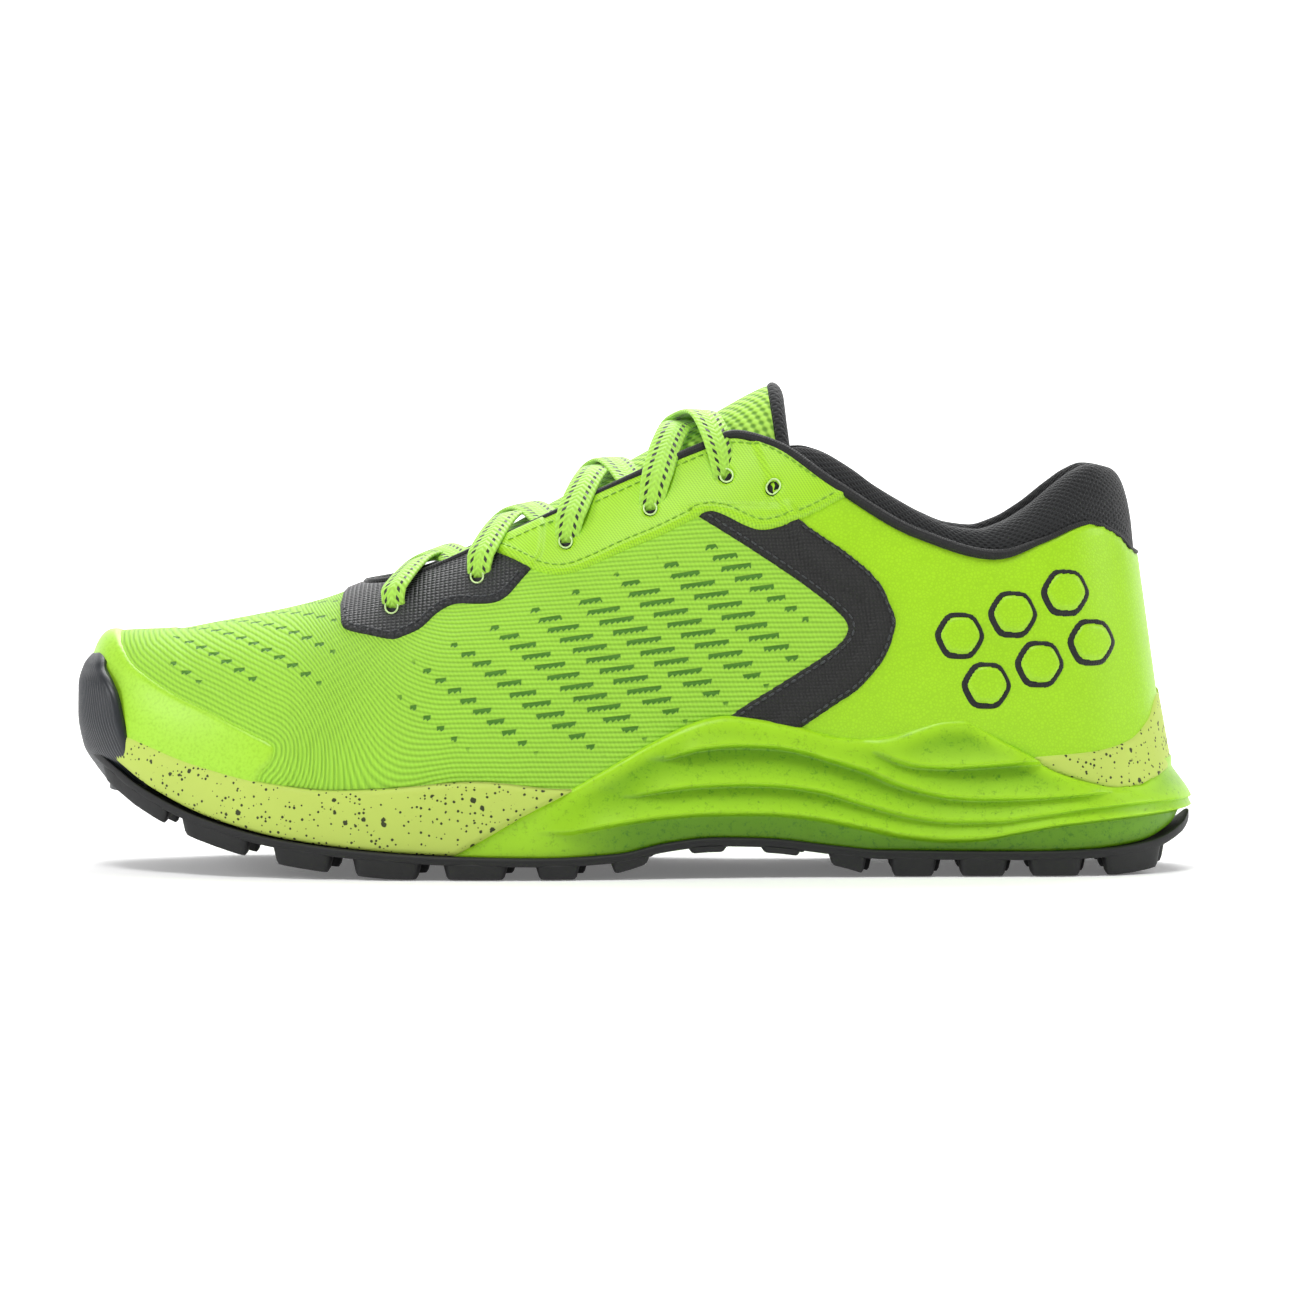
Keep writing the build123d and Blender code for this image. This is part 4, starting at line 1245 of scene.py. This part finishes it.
@dataclass
class Tongue:
    """The padded tongue: a knit face, a mesh lining, and a taped edge."""

    back: float = 40.5
    front: float = -60.0
    skin: float = 3.3
    thickness: float = 6.4
    tape: float = 3.4
    half: Line = Line([(-60, 15), (-40, 21), (0, 24), (30, 25), (42, 23)])

    def build(self) -> list[bpy.types.Object]:
        """Builds the face with its pad, the lining and the taped edge, and returns them."""
        face, across = self._grid(self.skin, 0.0)
        edge = np.minimum(1 - np.abs(across[1]), 1.0) * 24
        end = np.minimum(across[0] * (self.back - self.front), (1 - across[0]) * (self.back - self.front))
        full = round_over(np.minimum(edge, end), 5.0, 2.0)
        outer, _ = self._grid(self.skin + self.thickness / 2, -self.thickness / 2 * full)
        inner, _ = self._grid(self.skin + self.thickness / 2, self.thickness / 2 * full)
        points, faces = two_skins(outer, inner)
        flat = np.stack([outer[..., 0].ravel(), outer[..., 1].ravel()], -1)
        body = make_object("tongue_pad_face", points, faces, TONGUE_KNIT, np.tile(flat, (2, 1)))
        under, _ = self._grid(self.skin + self.thickness / 2, self.thickness / 2 * full + 0.35)
        deeper, _ = self._grid(self.skin + self.thickness / 2, self.thickness / 2 * full - 0.4)
        points, faces = two_skins(deeper[2:-2, 2:-2], under[2:-2, 2:-2])
        flat = np.stack([under[2:-2, 2:-2, 0].ravel(), under[2:-2, 2:-2, 1].ravel()], -1)
        lining = make_object("tongue_back", points, faces, COLLAR_MESH, np.tile(flat, (2, 1)))
        middle = (outer + inner) / 2
        border = np.concatenate([middle[:, 0], middle[-1, 1:-1], middle[::-1, -1]])
        out = np.concatenate([middle[:, 0] - middle[:, 3], middle[-1, 1:-1] - middle[-4, 1:-1],
                              (middle[:, -1] - middle[:, -4])[::-1]])
        out /= np.linalg.norm(out, axis=1, keepdims=True)
        points, faces, uv = swept(border - 0.4 * out, ring(self.tape, 16, 0.62), out)
        tape = make_object("tongue_tape", points, faces, COLLAR_MESH, uv)
        settle(body, "tongue_knit", "tongue_face", "tongue_pad", body="tongue")
        settle(lining, "black_mesh", "tongue_lining", body="tongue")
        settle(tape, "black_mesh", body="tongue")
        return [body, lining, tape]

    def _grid(self, depth: float, more: Array | float) -> tuple[Array, tuple[Array, Array]]:
        """The tongue's layer at a depth below the form.

        Args:
            depth: below the form's face.
            more: added to that, for each point or for all.

        Returns:
            Points, and where each lies along and across the tongue.
        """
        rows, columns = 110, 45
        v, w = np.meshgrid(np.linspace(0, 1, rows), np.linspace(-1, 1, columns), indexing="ij")
        x = self.front + (self.back - self.front) * v + 3.0 * np.abs(w) ** 2 * step_up(v, 0.8, 1.0)
        share = (x - LAST.toe) / (LAST.heel - LAST.toe)
        low, high = LAST.edges(x, LAST.toe, LAST.heel, LAST.rim)
        reach = self.half(x) / ((high - low) / 2)
        angle = math.pi / 2 + w * np.arcsin(np.clip(reach, 0, 0.99))
        return LAST.at(share, angle, depth + more), (v, w)


@dataclass
class Lacing:
    """The flat braid through five pairs of holes, the rims of all the holes, and a dark disc of painted shade
    in each.
    """

    width: float = 8.4
    thickness: float = 1.35
    outside: float = -2.3
    under: float = 2.4
    crossings: tuple[float, float] = (1.7, -0.1)
    pinch: float = 0.22
    rim: float = 0.24

    def build(self) -> list[bpy.types.Object]:
        """Builds the lace and the rims and returns them."""
        bands = [self._ribbon(route, pinch) for route, pinch in self._routes()]
        points, faces, uv = joined(bands, uv=True)
        lace = make_object("lace_braid_band", points, faces, LACE, uv)
        return [settle(lace, "lace_braid", "lace"), settle(self._rims(), "twill_synthetic"),
                settle(self._hole_shade(), "black_mesh")]

    def _routes(self) -> list[tuple[Array, Array]]:
        """Routes as rows of (share, angle, depth), each with the band's width along it."""
        routes = []
        t = np.linspace(0, 1, 33)
        for side, other, crossing in zip(Side, reversed(Side), self.crossings):
            for i in range(4):
                (s0, a0), (s1, a1) = LAST.locate(*EYELETS[i], side), LAST.locate(*EYELETS[i + 1], other)
                last = i == 3
                far = [(0.76, self.outside), (0.9, self.outside), (0.96, -1.0), (1.0, 1.2)] if last else [
                    (0.76, self.under), (1.0, self.under)]
                depth = Line([(0, 1.5), (0.02, -0.8), (0.07, self.outside - 0.9), (0.16, self.outside - 0.4),
                              (0.3, self.outside + 0.7), (0.5, crossing)] + far)
                pinch = 1 - self.pinch + self.pinch * step_up(t, 0.0, 0.1)
                if last:
                    pinch = pinch * (1 - self.pinch * step_up(t, 0.9, 1.0))
                routes.append((np.stack([s0 + (s1 - s0) * t, a0 + (a1 - a0) * t, depth(t)], -1), pinch))
        s, a = LAST.locate(*EYELETS[0], Side.LATERAL)
        angle = a + (math.pi - 2 * a) * t
        routes.append((np.stack([s + 0 * t, angle, self.under + 0 * t], -1), 0.5 + 0.5 * np.sin(math.pi * t)))
        return routes

    def _ribbon(self, route: Array, pinch: Array) -> tuple[Array, list[list[int]], Array]:
        """A rounded flat band along a route.

        Args:
            route: rows of (share, angle, depth) on the form.
            pinch: the band's width along it, as a share of the full width.

        Returns:
            Vertices, faces and pattern coordinates.
        """
        path = LAST.at(route[:, 0], route[:, 1], route[:, 2])
        up = LAST.at(route[:, 0], route[:, 1], route[:, 2] - 1) - path
        turn = np.arange(20) / 20 * math.tau
        cos, sin = np.cos(turn), np.sin(turn)
        wide = np.sign(cos) * np.abs(cos) ** 0.55 * self.width / 2
        high = np.sign(sin) * np.abs(sin) ** 0.7 * self.thickness / 2
        section = np.stack([wide * pinch[:, None], high * (1.9 - 0.9 * pinch[:, None])
                            + 0.5 * (1 - pinch[:, None]) * (1 - (wide / self.width * 2) ** 2)], -1)
        points, faces, uv = swept(path, section, up)
        uv[:, 1] = np.tile(wide, len(path))
        return points, faces, uv

    def _hole_shade(self) -> bpy.types.Object:
        """A dark disc at the bottom of every hole: painted shade where the hole goes into the shoe."""
        count = 16
        turn = np.arange(count) / count * math.tau
        wall = grid_faces(2, count, wrap=True)
        caps = [list(range(count)), [2 * count - 1 - i for i in range(count)]]
        discs = []
        for side in Side:
            for x, z in EYELETS:
                rx, rz = x + 1.75 * np.cos(turn), z + 1.75 * np.sin(turn)
                floor = pile(rx, rz, Upper.leather, QUARTER_CUT) + 0.12
                points = np.concatenate([LAST.on(rx, rz, side, floor), LAST.on(rx, rz, side, floor - 0.6)])
                discs.append((points, caps + wall))
        return make_object("eyelet_hole_shade", *joined(discs), COLLAR_MESH)

    def _rims(self) -> bpy.types.Object:
        """A pale rim round every hole."""
        count, section = 24, ring(self.rim, 8)
        turn = np.arange(count) / count * math.tau
        closing = [[(count - 1) * 8 + j, j, (j + 1) % 8, (count - 1) * 8 + (j + 1) % 8] for j in range(8)]
        faces = grid_faces(count, 8, wrap=True) + closing
        upper = Upper()
        rims = []
        for side in Side:
            for x, z in EYELETS:
                rx, rz = x + 1.7 * np.cos(turn), z + 1.7 * np.sin(turn)
                on_stay = x > STAY_EDGE[0][0] + 3
                level = np.full(count, 3.0 if on_stay else upper.patch)
                height = upper.stay_lift(rx, rz, level) if on_stay else level
                path = LAST.on(rx, rz, side, height)
                up = LAST.on(rx, rz, side, height + 1) - path
                _, ups, sides = frames_along(np.concatenate([path, path[:1]]), np.concatenate([up, up[:1]]))
                grid = path[:, None] + section[:, :1] * sides[:-1, None] + section[:, 1:] * ups[:-1, None]
                rims.append((grid.reshape(-1, 3), faces))
        return make_object("eyelet_rims", *joined(rims), EYELET_RIM)


# ---------------------------------------------------------------- the sole
def sole_point(share: Array, z: Array, side: Side, inset: Array | float) -> Array:
    """Points of the sole's wall.

    Args:
        share: 0 at the toe to 1 at the heel.
        z: height of the points.
        side: side of the shoe.
        inset: how far they are drawn in from the sole's widest outline.

    Returns:
        Points, with one more axis than the arguments.
    """
    share, z, inset = np.broadcast_arrays(share, z, inset)
    toe, heel = -150 + inset, 150 - inset
    x = toe + share * (heel - toe)
    low, high = LAST.edges(x, toe, heel, inset)
    return np.stack([x, low if side is Side.LATERAL else high, z], -1)


def round_the_heel(first: float, rows: int) -> Array:
    """Shares from first to the heel's tip, closer together near the tip."""
    return first + (1 - first) * np.sin(np.linspace(0, math.pi / 2, rows))


@dataclass
class Sole:
    """The speckled core, the cradle with its waves, and the bumper."""

    core_inset: float = 2.4
    cradle_inset: float = 3.0
    wave: float = 3.3
    fall: float = 10.0
    # Each wave: its crest in the side view, the x where it starts, is full, and begins to fade.
    crests: tuple[tuple[Line, float, float, float], ...] = (
        (Line([(9, 32.1), (18.5, 34.7), (28.1, 35.4), (37.6, 35), (45.1, 33.7), (51, 31.9), (62.3, 28.5),
               (69.9, 25.1), (77.4, 22.8), (85, 21.3), (92.5, 20.8), (104, 20.9), (115, 21.5),
               (122.7, 22.1)]), 2, 18, 118),
        (Line([(-0.5, 22), (9, 23.9), (18.5, 24.8), (28, 25.1), (37.6, 24.8), (49.5, 23.2), (62.3, 19.4),
               (73.7, 16.3), (85, 14.9), (96.3, 14.9), (107.6, 16.3), (122.7, 18.3), (137.8, 19.3),
               (150.4, 19.4)]), -10, 12, 200),
        (Line([(-16.4, 12.8), (-0.5, 15.6), (9, 16.8), (21.7, 17.5), (34.4, 17.4), (45, 16.6), (62.3, 13.4),
               (73.7, 11.1), (85, 10.2), (92.5, 10.4), (104, 12.3), (115, 14.1), (130.3, 15.6),
               (149.2, 17)]), -28, -4, 200),
        (Line([(65.4, 33), (69.9, 31.1), (75.9, 29.6), (85, 29.2), (92.5, 29.6), (104, 30.4)]), 58, 72, 98),
    )
    bumper_front: Line = Line([(22, -141.5), (25.8, -144.5), (32.5, -148.6), (41, -150), (48.5, -149.9),
                               (54, -148.4), (57, -146), (58.8, -143.6)])
    bumper_back: Line = Line([(18, -124), (22.4, -130.5), (28.5, -134.3), (37.2, -137.1), (46.5, -139.4),
                              (51, -141.6), (54.5, -143.6), (58.8, -143.4)])

    def build(self) -> list[bpy.types.Object]:
        """Builds the foam pieces and the bumper and returns them."""
        return [settle(self._core(), "speckled_foam", "midsole_core"),
                settle(self._cradle(), "green_foam", "midsole_frame"),
                settle(self._bumper(), "slate_rubber", "toe_bumper")]

    def _closed_band(self, name: str, finish: Finish, halves: list[Array], ends: bool,
                     hollow: Array | None = None) -> bpy.types.Object:
        """A closed band from two grids of (place along, place round the section).

        Args:
            name: the piece's name.
            finish: what it is made of.
            halves: lateral and medial grids that meet at the heel, and at the toe too unless ends is set.
            ends: closes the two open ends with flat faces.
            hollow: painted shade, as how deep each point of one half lies in a groove, 0 to 1; it darkens the
                colour there.

        Returns:
            The band.
        """
        back = halves[1][-2::-1] if ends else halves[1][-2:0:-1]
        grid = np.concatenate([halves[0], back])
        rows, columns = grid.shape[:2]
        faces = grid_faces(rows, columns, wrap=True)
        if ends:
            faces += [list(range(columns)), [(rows - 1) * columns + j for j in reversed(range(columns))]]
        else:
            last = (rows - 1) * columns
            faces += [[last + j, j, (j + 1) % columns, last + (j + 1) % columns] for j in range(columns)]
        floats = None if hollow is None else {"hollow": np.concatenate([hollow, hollow[-2::-1]]).ravel()}
        return make_object(name, grid.reshape(-1, 3), faces, finish, floats=floats)

    def _core(self) -> bpy.types.Object:
        """The soft core, with a rounded rim that the upper sits in."""
        share = 0.5 - 0.5 * np.cos(np.linspace(0, math.pi, 330))
        nominal = (-150 + share * 300)[:, None]
        bottom, rim = SOLE_TOP(nominal) + 0.1, CORE_RIM(nominal)
        top = FRAME_TOP(nominal)
        rise = np.linspace(0, 1, 30)[None]
        heel = step_up(nominal, 96, 124)
        z = bottom + (rim - bottom) * rise
        inset = self.core_inset + 0 * z
        inset = inset + 4.0 * step_up(top - z, 0.3, 2.0) * step_up(nominal, -52, -46)
        swell = 0.7 * np.sin(math.pi * np.clip(rise, 0, 1)) * (1 - heel)
        lip = 1.5 * (1 - round_over(rim - z, 1.8, 2.0)) + 0.7 * (1 - round_over(z - bottom, 1.2, 2.0))
        inset = inset - swell + lip
        inset = np.where(z > LAST.bed(nominal) - 1, np.minimum(inset, 4.9), inset)
        inner = np.array([1.0, 1.1, 1.2, 1.3, 10.0, 10.0, 7.0, 4.0])[None] + 0 * nominal
        drop = np.array([-0.1, -0.4, -0.8, -4.0, 0.0, 0.0, 0.0, 0.0])[None]
        column = np.arange(8)[None]
        level = np.where(column < 4, rim + drop, bottom + np.where(column == 4, 3.0, 0.0))
        inset = np.concatenate([inset, inset[:, -1:] + inner[:, :4] - 1.2, inner[:, 4:]], 1)
        z = np.concatenate([z, level], 1)
        outer = rise.shape[1]
        back_share = np.clip((nominal - LAST.toe) / (LAST.heel - LAST.toe), 0, 1)
        proud = 2.6 - 1.2 * rise - lip
        proud = np.concatenate([proud, proud[:, -1:] - inner[:, :4] * 0.4, -inner[:, 4:]], 1)
        halves = []
        for side in Side:
            plain = sole_point(share[:, None], z, side, inset)
            cupped = LAST.wall(back_share, z, side, proud)
            high = np.concatenate([step_up(z[:, :outer], 22, 30), np.ones((len(share), 8))], 1)
            halves.append(plain + (cupped - plain) * (heel * high)[..., None])
        return self._closed_band("speckled_core", SPECKLED, halves, False)

    def _cradle(self) -> bpy.types.Object:
        """The firm foam round the arch and the heel, with waves moulded in its wall and painted shade in the
        hollows between them.
        """
        share = round_the_heel((-49 + 150) / 300, 330)
        nominal = (-150 + share * 300)[:, None]
        bottom, top = SOLE_TOP(nominal) - 0.4, FRAME_TOP(nominal)
        top = np.maximum(top, bottom + 0.3)
        z = bottom + (top - bottom) * np.linspace(0, 1, 84)[None]
        heel = step_up(nominal, 128, 149)
        inset = self.cradle_inset + heel * 3.2 * step_up((z - 19) / np.maximum(top - 19, 1), 0.1, 1.1)
        height = np.zeros_like(z)
        for line, first, full, last in self.crests:
            over = z - line(nominal)
            shape = np.where(over > 0, np.clip(1 - over / self.fall, 0, 1) ** 1.5,
                             1 - step_up(-over, 0.0, 1.5))
            reach = step_up(nominal, first, full) * (1 - step_up(nominal, last, last + 22))
            height = np.maximum(height, shape * reach)
        edge = 1.6 * (1 - round_over(top - z, 1.8, 2.0)) + 0.8 * (1 - round_over(z - bottom, 1.2, 2.0))
        inset = inset - self.wave * height * np.clip((top - bottom) / 14, 0.15, 1) + edge
        inner_z = top + (bottom - top) * np.linspace(0, 1, 6)[None]
        inset = np.concatenate([inset, 5.0 + 0 * inner_z], 1)
        z = np.concatenate([z, inner_z], 1)
        # Painted shade: the colour darkens in the hollows between the waves, from the arch back, clear of the
        # rounded top edge.
        deep = 0.75 * (1 - height) * step_up(nominal, -30, 5) * step_up(top - z[:, :84], 1, 6)
        deep = np.concatenate([deep, 0 * inner_z], 1)
        return self._closed_band("wave_cradle", CRADLE,
                                 [sole_point(share[:, None], z, side, inset) for side in Side], True, deep)

    def _bumper(self) -> bpy.types.Object:
        """The rubber guard round the toe, with fine ribs that follow its slant."""
        z = np.linspace(20.5, 58.6, 74)
        t = np.linspace(0, 1, 230)
        front, back = self.bumper_front(z)[:, None], self.bumper_back(z)[:, None]
        x = back + (front - back) * np.sin(math.pi / 2 * t)[None]
        slide = front + 150
        low, high = LAST.edges(x - slide, -150, 150, 0)
        level = z[:, None] + 0 * x
        lateral, medial = np.stack([x, low, level], -1), np.stack([x, high, level], -1)
        outer = np.concatenate([lateral, medial[:, -2::-1]], 1)
        run = np.concatenate([np.zeros((len(z), 1)),
                              np.cumsum(np.linalg.norm(np.diff(outer, axis=1), axis=2), 1)], 1)
        along = np.abs(run - run[:, len(t) - 1:len(t)]) + 0.32 * level_all(z, outer)
        rib = np.abs(np.sin(math.pi * along / 1.35)) ** 0.7
        edge = np.minimum(np.minimum(run, run[:, -1:] - run) / 2.2, (58.6 - level_all(z, outer)) / 2.2)
        rim = round_over(edge, 1.0, 2.0)
        middle = np.stack([outer[..., 0] + 30, 0.2 * outer[..., 1], outer[..., 2]], -1)
        inward = middle - outer
        inward /= np.linalg.norm(inward, axis=-1, keepdims=True)
        depth = 0.3 * (1 - rib) * step_up(edge, 0.2, 0.9) + 1.5 * (1 - rim)
        points, faces = two_skins(outer + inward * depth[..., None], outer + inward * 2.6)
        return make_object("ribbed_bumper", points, faces, BUMPER)


@dataclass
class Tread:
    """The rubber plate and its rows of moulded lugs, which taper towards the ground."""

    toe: float = -147.5
    heel: float = 149.7
    plate: float = 2.4
    inset: float = 0.8
    across: int = 5
    draft: float = 0.8
    rows: tuple[tuple[float, float], ...] = (
        (-142.5, -122.6), (-119.9, -100.5), (-95, -78.4), (-73.9, -55), (-50, -32.2), (-25.7, -13.3),
        (-6, 5.2), (14.4, 25.4), (33.5, 45), (51.4, 62.3), (67.7, 80.9), (85.7, 99.7), (104.3, 119.6),
        (124.2, 141))
    depth: Line = Line([(-150, 3.2), (-100, 4.0), (-60, 4.4), (-22, 4.4), (0, 2.2), (12, 1.4), (40, 1.4),
                        (56, 3.2), (68, 5.0), (150, 5.0)])

    def build(self) -> list[bpy.types.Object]:
        """Builds the whole outsole as one piece and returns it."""
        lugs = [self._lug(x0, x1, k) for x0, x1 in self.rows for k in range(self.across)]
        piece = make_object("lugged_outsole", *joined([self._plate(), *lugs]), OUTSOLE)
        return [settle(piece, "black_rubber", "outsole")]

    def _spread(self, x: Array, w: Array) -> Array:
        """Where a share w of the way across the plate lies at x, from the lateral edge."""
        low, high = LAST.edges(x, self.toe, self.heel, self.inset)
        return low + (high - low) * w

    def _plate(self) -> tuple[Array, list[list[int]]]:
        """The plate, with a softened edge."""
        share = (1 - np.cos(np.linspace(0, math.pi, 190))) / 2
        x = (self.toe + share * (self.heel - self.toe))[:, None]
        w = (1 - np.cos(np.linspace(0, math.pi, 25)))[None] / 2
        near = np.minimum(np.minimum(w, 1 - w) * 90, np.minimum(x - self.toe, self.heel - x) + 0 * w)
        soft = 0.5 * (1 - round_over(near, 1.0, 2.0))
        y = self._spread(x, w)
        top, bottom = SOLE_TOP(x) - soft, SOLE_TOP(x) - self.plate + soft
        wide = x + 0 * y
        return two_skins(np.stack([wide, y, top + 0 * y], -1), np.stack([wide, y, bottom + 0 * y], -1))

    def _lug(self, x0: float, x1: float, k: int) -> tuple[Array, list[list[int]]]:
        """One lug: rounded in plan, drawn in towards the ground, with a softened foot.

        Args:
            x0: front of its row.
            x1: back of its row.
            k: its number in the row, from the lateral side.

        Returns:
            Vertices and faces.
        """
        count = 32
        turn = np.arange(count) / count * math.tau
        along = np.sign(np.cos(turn)) * np.abs(np.cos(turn)) ** 0.28
        side = np.sign(np.sin(turn)) * np.abs(np.sin(turn)) ** 0.28
        at_edge = k in (0, self.across - 1)
        half_share = (0.46 if at_edge else 0.31) / self.across
        outwards = (0.04 if k else -0.04) if at_edge else 0.0
        middle = (k + 0.5 + outwards) / self.across
        centre = (x0 + x1) / 2 + (2.0 if k % 2 else 0.0)
        rings = []
        for down, taper in ((-0.15, 0.0), (0.0, 0.0), (0.82, 1.0), (1.0, 1.6)):
            draw_in = self.draft * taper
            x = centre + along * ((x1 - x0) / 2 - 0.4 - draw_in)
            width = self._spread(x, 1.0) - self._spread(x, 0.0)
            y = self._spread(x, middle + side * (half_share - 0.55 * draw_in / width))
            foot = SOLE_TOP(x) - self.plate
            ground = np.maximum(foot - self.depth(x), 0.0)
            rings.append(np.stack([x, y, foot + (ground - foot) * down], -1))
        faces = grid_faces(len(rings), count, wrap=True)
        faces += [list(range(count)), [len(rings) * count - 1 - i for i in range(count)]]
        return np.concatenate(rings), faces


def level_all(z: Array, grid: Array) -> Array:
    """Heights z of a grid's rows, one for each point."""
    return z[:, None] + 0 * grid[..., 0]


@dataclass
class Insole:
    """The loose sockliner, cupped round the heel."""

    thickness: float = 3.6
    gap: float = 2.0
    margin: float = 7.3

    def build(self) -> list[bpy.types.Object]:
        """Builds the sockliner and returns it."""
        share = np.linspace(0.02, 0.98, 150)
        x = -147 + self.margin + share * (290 - 2 * self.margin)
        side = self.margin - 2.3 * (1 - step_up(x, 0, 60))
        low, high = LAST.edges(x, -147 + self.margin, 143 - self.margin, LAST.rim + side)
        w = np.linspace(-1, 1, 41)
        y = (low + high)[:, None] / 2 + (high - low)[:, None] / 2 * w[None]
        cup = 2.2 * np.abs(w[None]) ** 4 * step_up(x, 0, 90)[:, None]
        to_end = np.minimum(share, 1 - share)[:, None] * 250
        full = round_over(np.minimum((1 - np.abs(w))[None] * 30, to_end), 3, 2)
        base = LAST.bed(x)[:, None] + self.gap + cup
        wide = x[:, None] + 0 * y
        top = np.stack([wide, y, base + self.thickness * (0.35 + 0.65 * full)], -1)
        low_face = np.stack([wide, y, base + 0 * y], -1)
        points, faces = two_skins(top, low_face)
        uv = np.tile(np.stack([wide.ravel(), y.ravel()], -1), (2, 1))
        piece = make_object("sockliner_pad", points, faces, SOCKLINER, uv)
        settle(piece, "sockliner", "insole", body="insole")
        return [piece]


def dress_nodes(nodes: dict[str, bpy.types.Object]) -> None:
    """Gives the carried-over solids their finishes."""
    for name, finish in (("strobel_board", BOARD), ("toe_puff", BOARD), ("heel_counter", BOARD),
                         ("lace_tips", LACE_TIP)):
        slots = nodes[name].material_slots
        if not slots:
            nodes[name].data.materials.append(finish.material())
        for slot in slots:
            slot.material = finish.material()
        LOG.info("dressed %s in %s", name, finish.name)


# ---------------------------------------------------------------- studio
@dataclass
class Studio:
    """A white sweep that glows with painted light, soft lamps and the camera."""

    lens: float = 200.0
    sensor: float = 36.0
    width: float = 349.8
    aim: tuple[float, float, float] = (4.7, 0.0, 58.1)
    elevation: float = 2.5
    white: str = "#F7F7F7"

    def build(self) -> None:
        """Builds the sweep, the lamps and the camera."""
        self._sweep()
        self._lamp("key", (-150, -550, 1200), 450, 8.5)
        self._lamp("back", (100, 650, 900), 700, 9.0)
        self._lamp("toe", (-1000, -350, 450), 400, 3.0)
        self._lamp("heel", (1000, -150, 500), 400, 3.0)
        world = bpy.data.worlds.new("studio")
        world.use_nodes = True
        world.node_tree.nodes["Background"].inputs[0].default_value = linear("#FFFFFF")
        world.node_tree.nodes["Background"].inputs[1].default_value = 0.28
        bpy.context.scene.world = world
        bpy.context.scene.view_settings.view_transform = "Standard"
        self._camera()

    def _sweep(self) -> None:
        """The floor, curving up into the wall behind, in paper that glows with painted light."""
        turn = np.linspace(0, math.pi / 2, 16)
        radius, back, side = 500.0, 1400.0, 3000.0
        rows = [(-3000.0, 0.0)] + [(back + radius * math.sin(a), radius - radius * math.cos(a)) for a in turn]
        rows.append((back + radius, 3000.0))
        grid = np.array([[(x, y, z) for x in (-side, side)] for y, z in rows]) + np.array([0, 0, -0.3])
        # The paper glows: painted light, not lamp light.
        paper = GlowingPaper("glowing_white_paper_sweep", self.white, self.white, 0.9, 0.01, mottle=0.0)
        mesh = bpy.data.meshes.new("paper_sweep")
        mesh.from_pydata((grid.reshape(-1, 3) * MM).tolist(), [], grid_faces(len(rows), 2))
        mesh.shade_smooth()
        mesh.materials.append(paper.material())
        sweep = bpy.data.objects.new("paper_sweep", mesh)
        bpy.context.scene.collection.objects.link(sweep)

    def _lamp(self, name: str, place: tuple[float, float, float], size: float, power: float) -> None:
        """A soft square lamp, aimed at the shoe.

        Args:
            name: the lamp's name.
            place: where it stands, in millimetres.
            size: its side, in millimetres.
            power: in watts.
        """
        lamp = bpy.data.lights.new(name, "AREA")
        lamp.size, lamp.energy = size * MM, power
        holder = bpy.data.objects.new(name, lamp)
        holder.location = Vector(place) * MM
        holder.rotation_euler = (Vector(self.aim) - Vector(place)).to_track_quat("-Z", "Y").to_euler()
        bpy.context.scene.collection.objects.link(holder)

    def _camera(self) -> None:
        """A long lens, level with the shoe's side."""
        eye = bpy.data.cameras.new("camera")
        eye.lens, eye.sensor_width = self.lens, self.sensor
        distance = self.width * self.lens / self.sensor
        holder = bpy.data.objects.new("camera", eye)
        rise = math.radians(self.elevation)
        away = Vector((0.0, -math.cos(rise), math.sin(rise)))
        holder.location = (Vector(self.aim) + away * distance) * MM
        holder.rotation_euler = (-away).to_track_quat("-Z", "Y").to_euler()
        bpy.context.scene.collection.objects.link(holder)
        bpy.context.scene.camera = holder


def main() -> None:
    """Builds the shoe around its frame."""
    logging.basicConfig(level=logging.INFO, format="%(message)s")
    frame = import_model()
    dress_nodes(frame["nodes"])
    for part in (Tread(), Sole(), Upper(), Collar(), Tongue(), Lacing(), Insole()):
        for piece in part.build():
            LOG.info("%s: %s has %d faces", type(part).__name__, piece.name, len(piece.data.polygons))
    Studio().build()


if __name__ == "__main__":
    main()
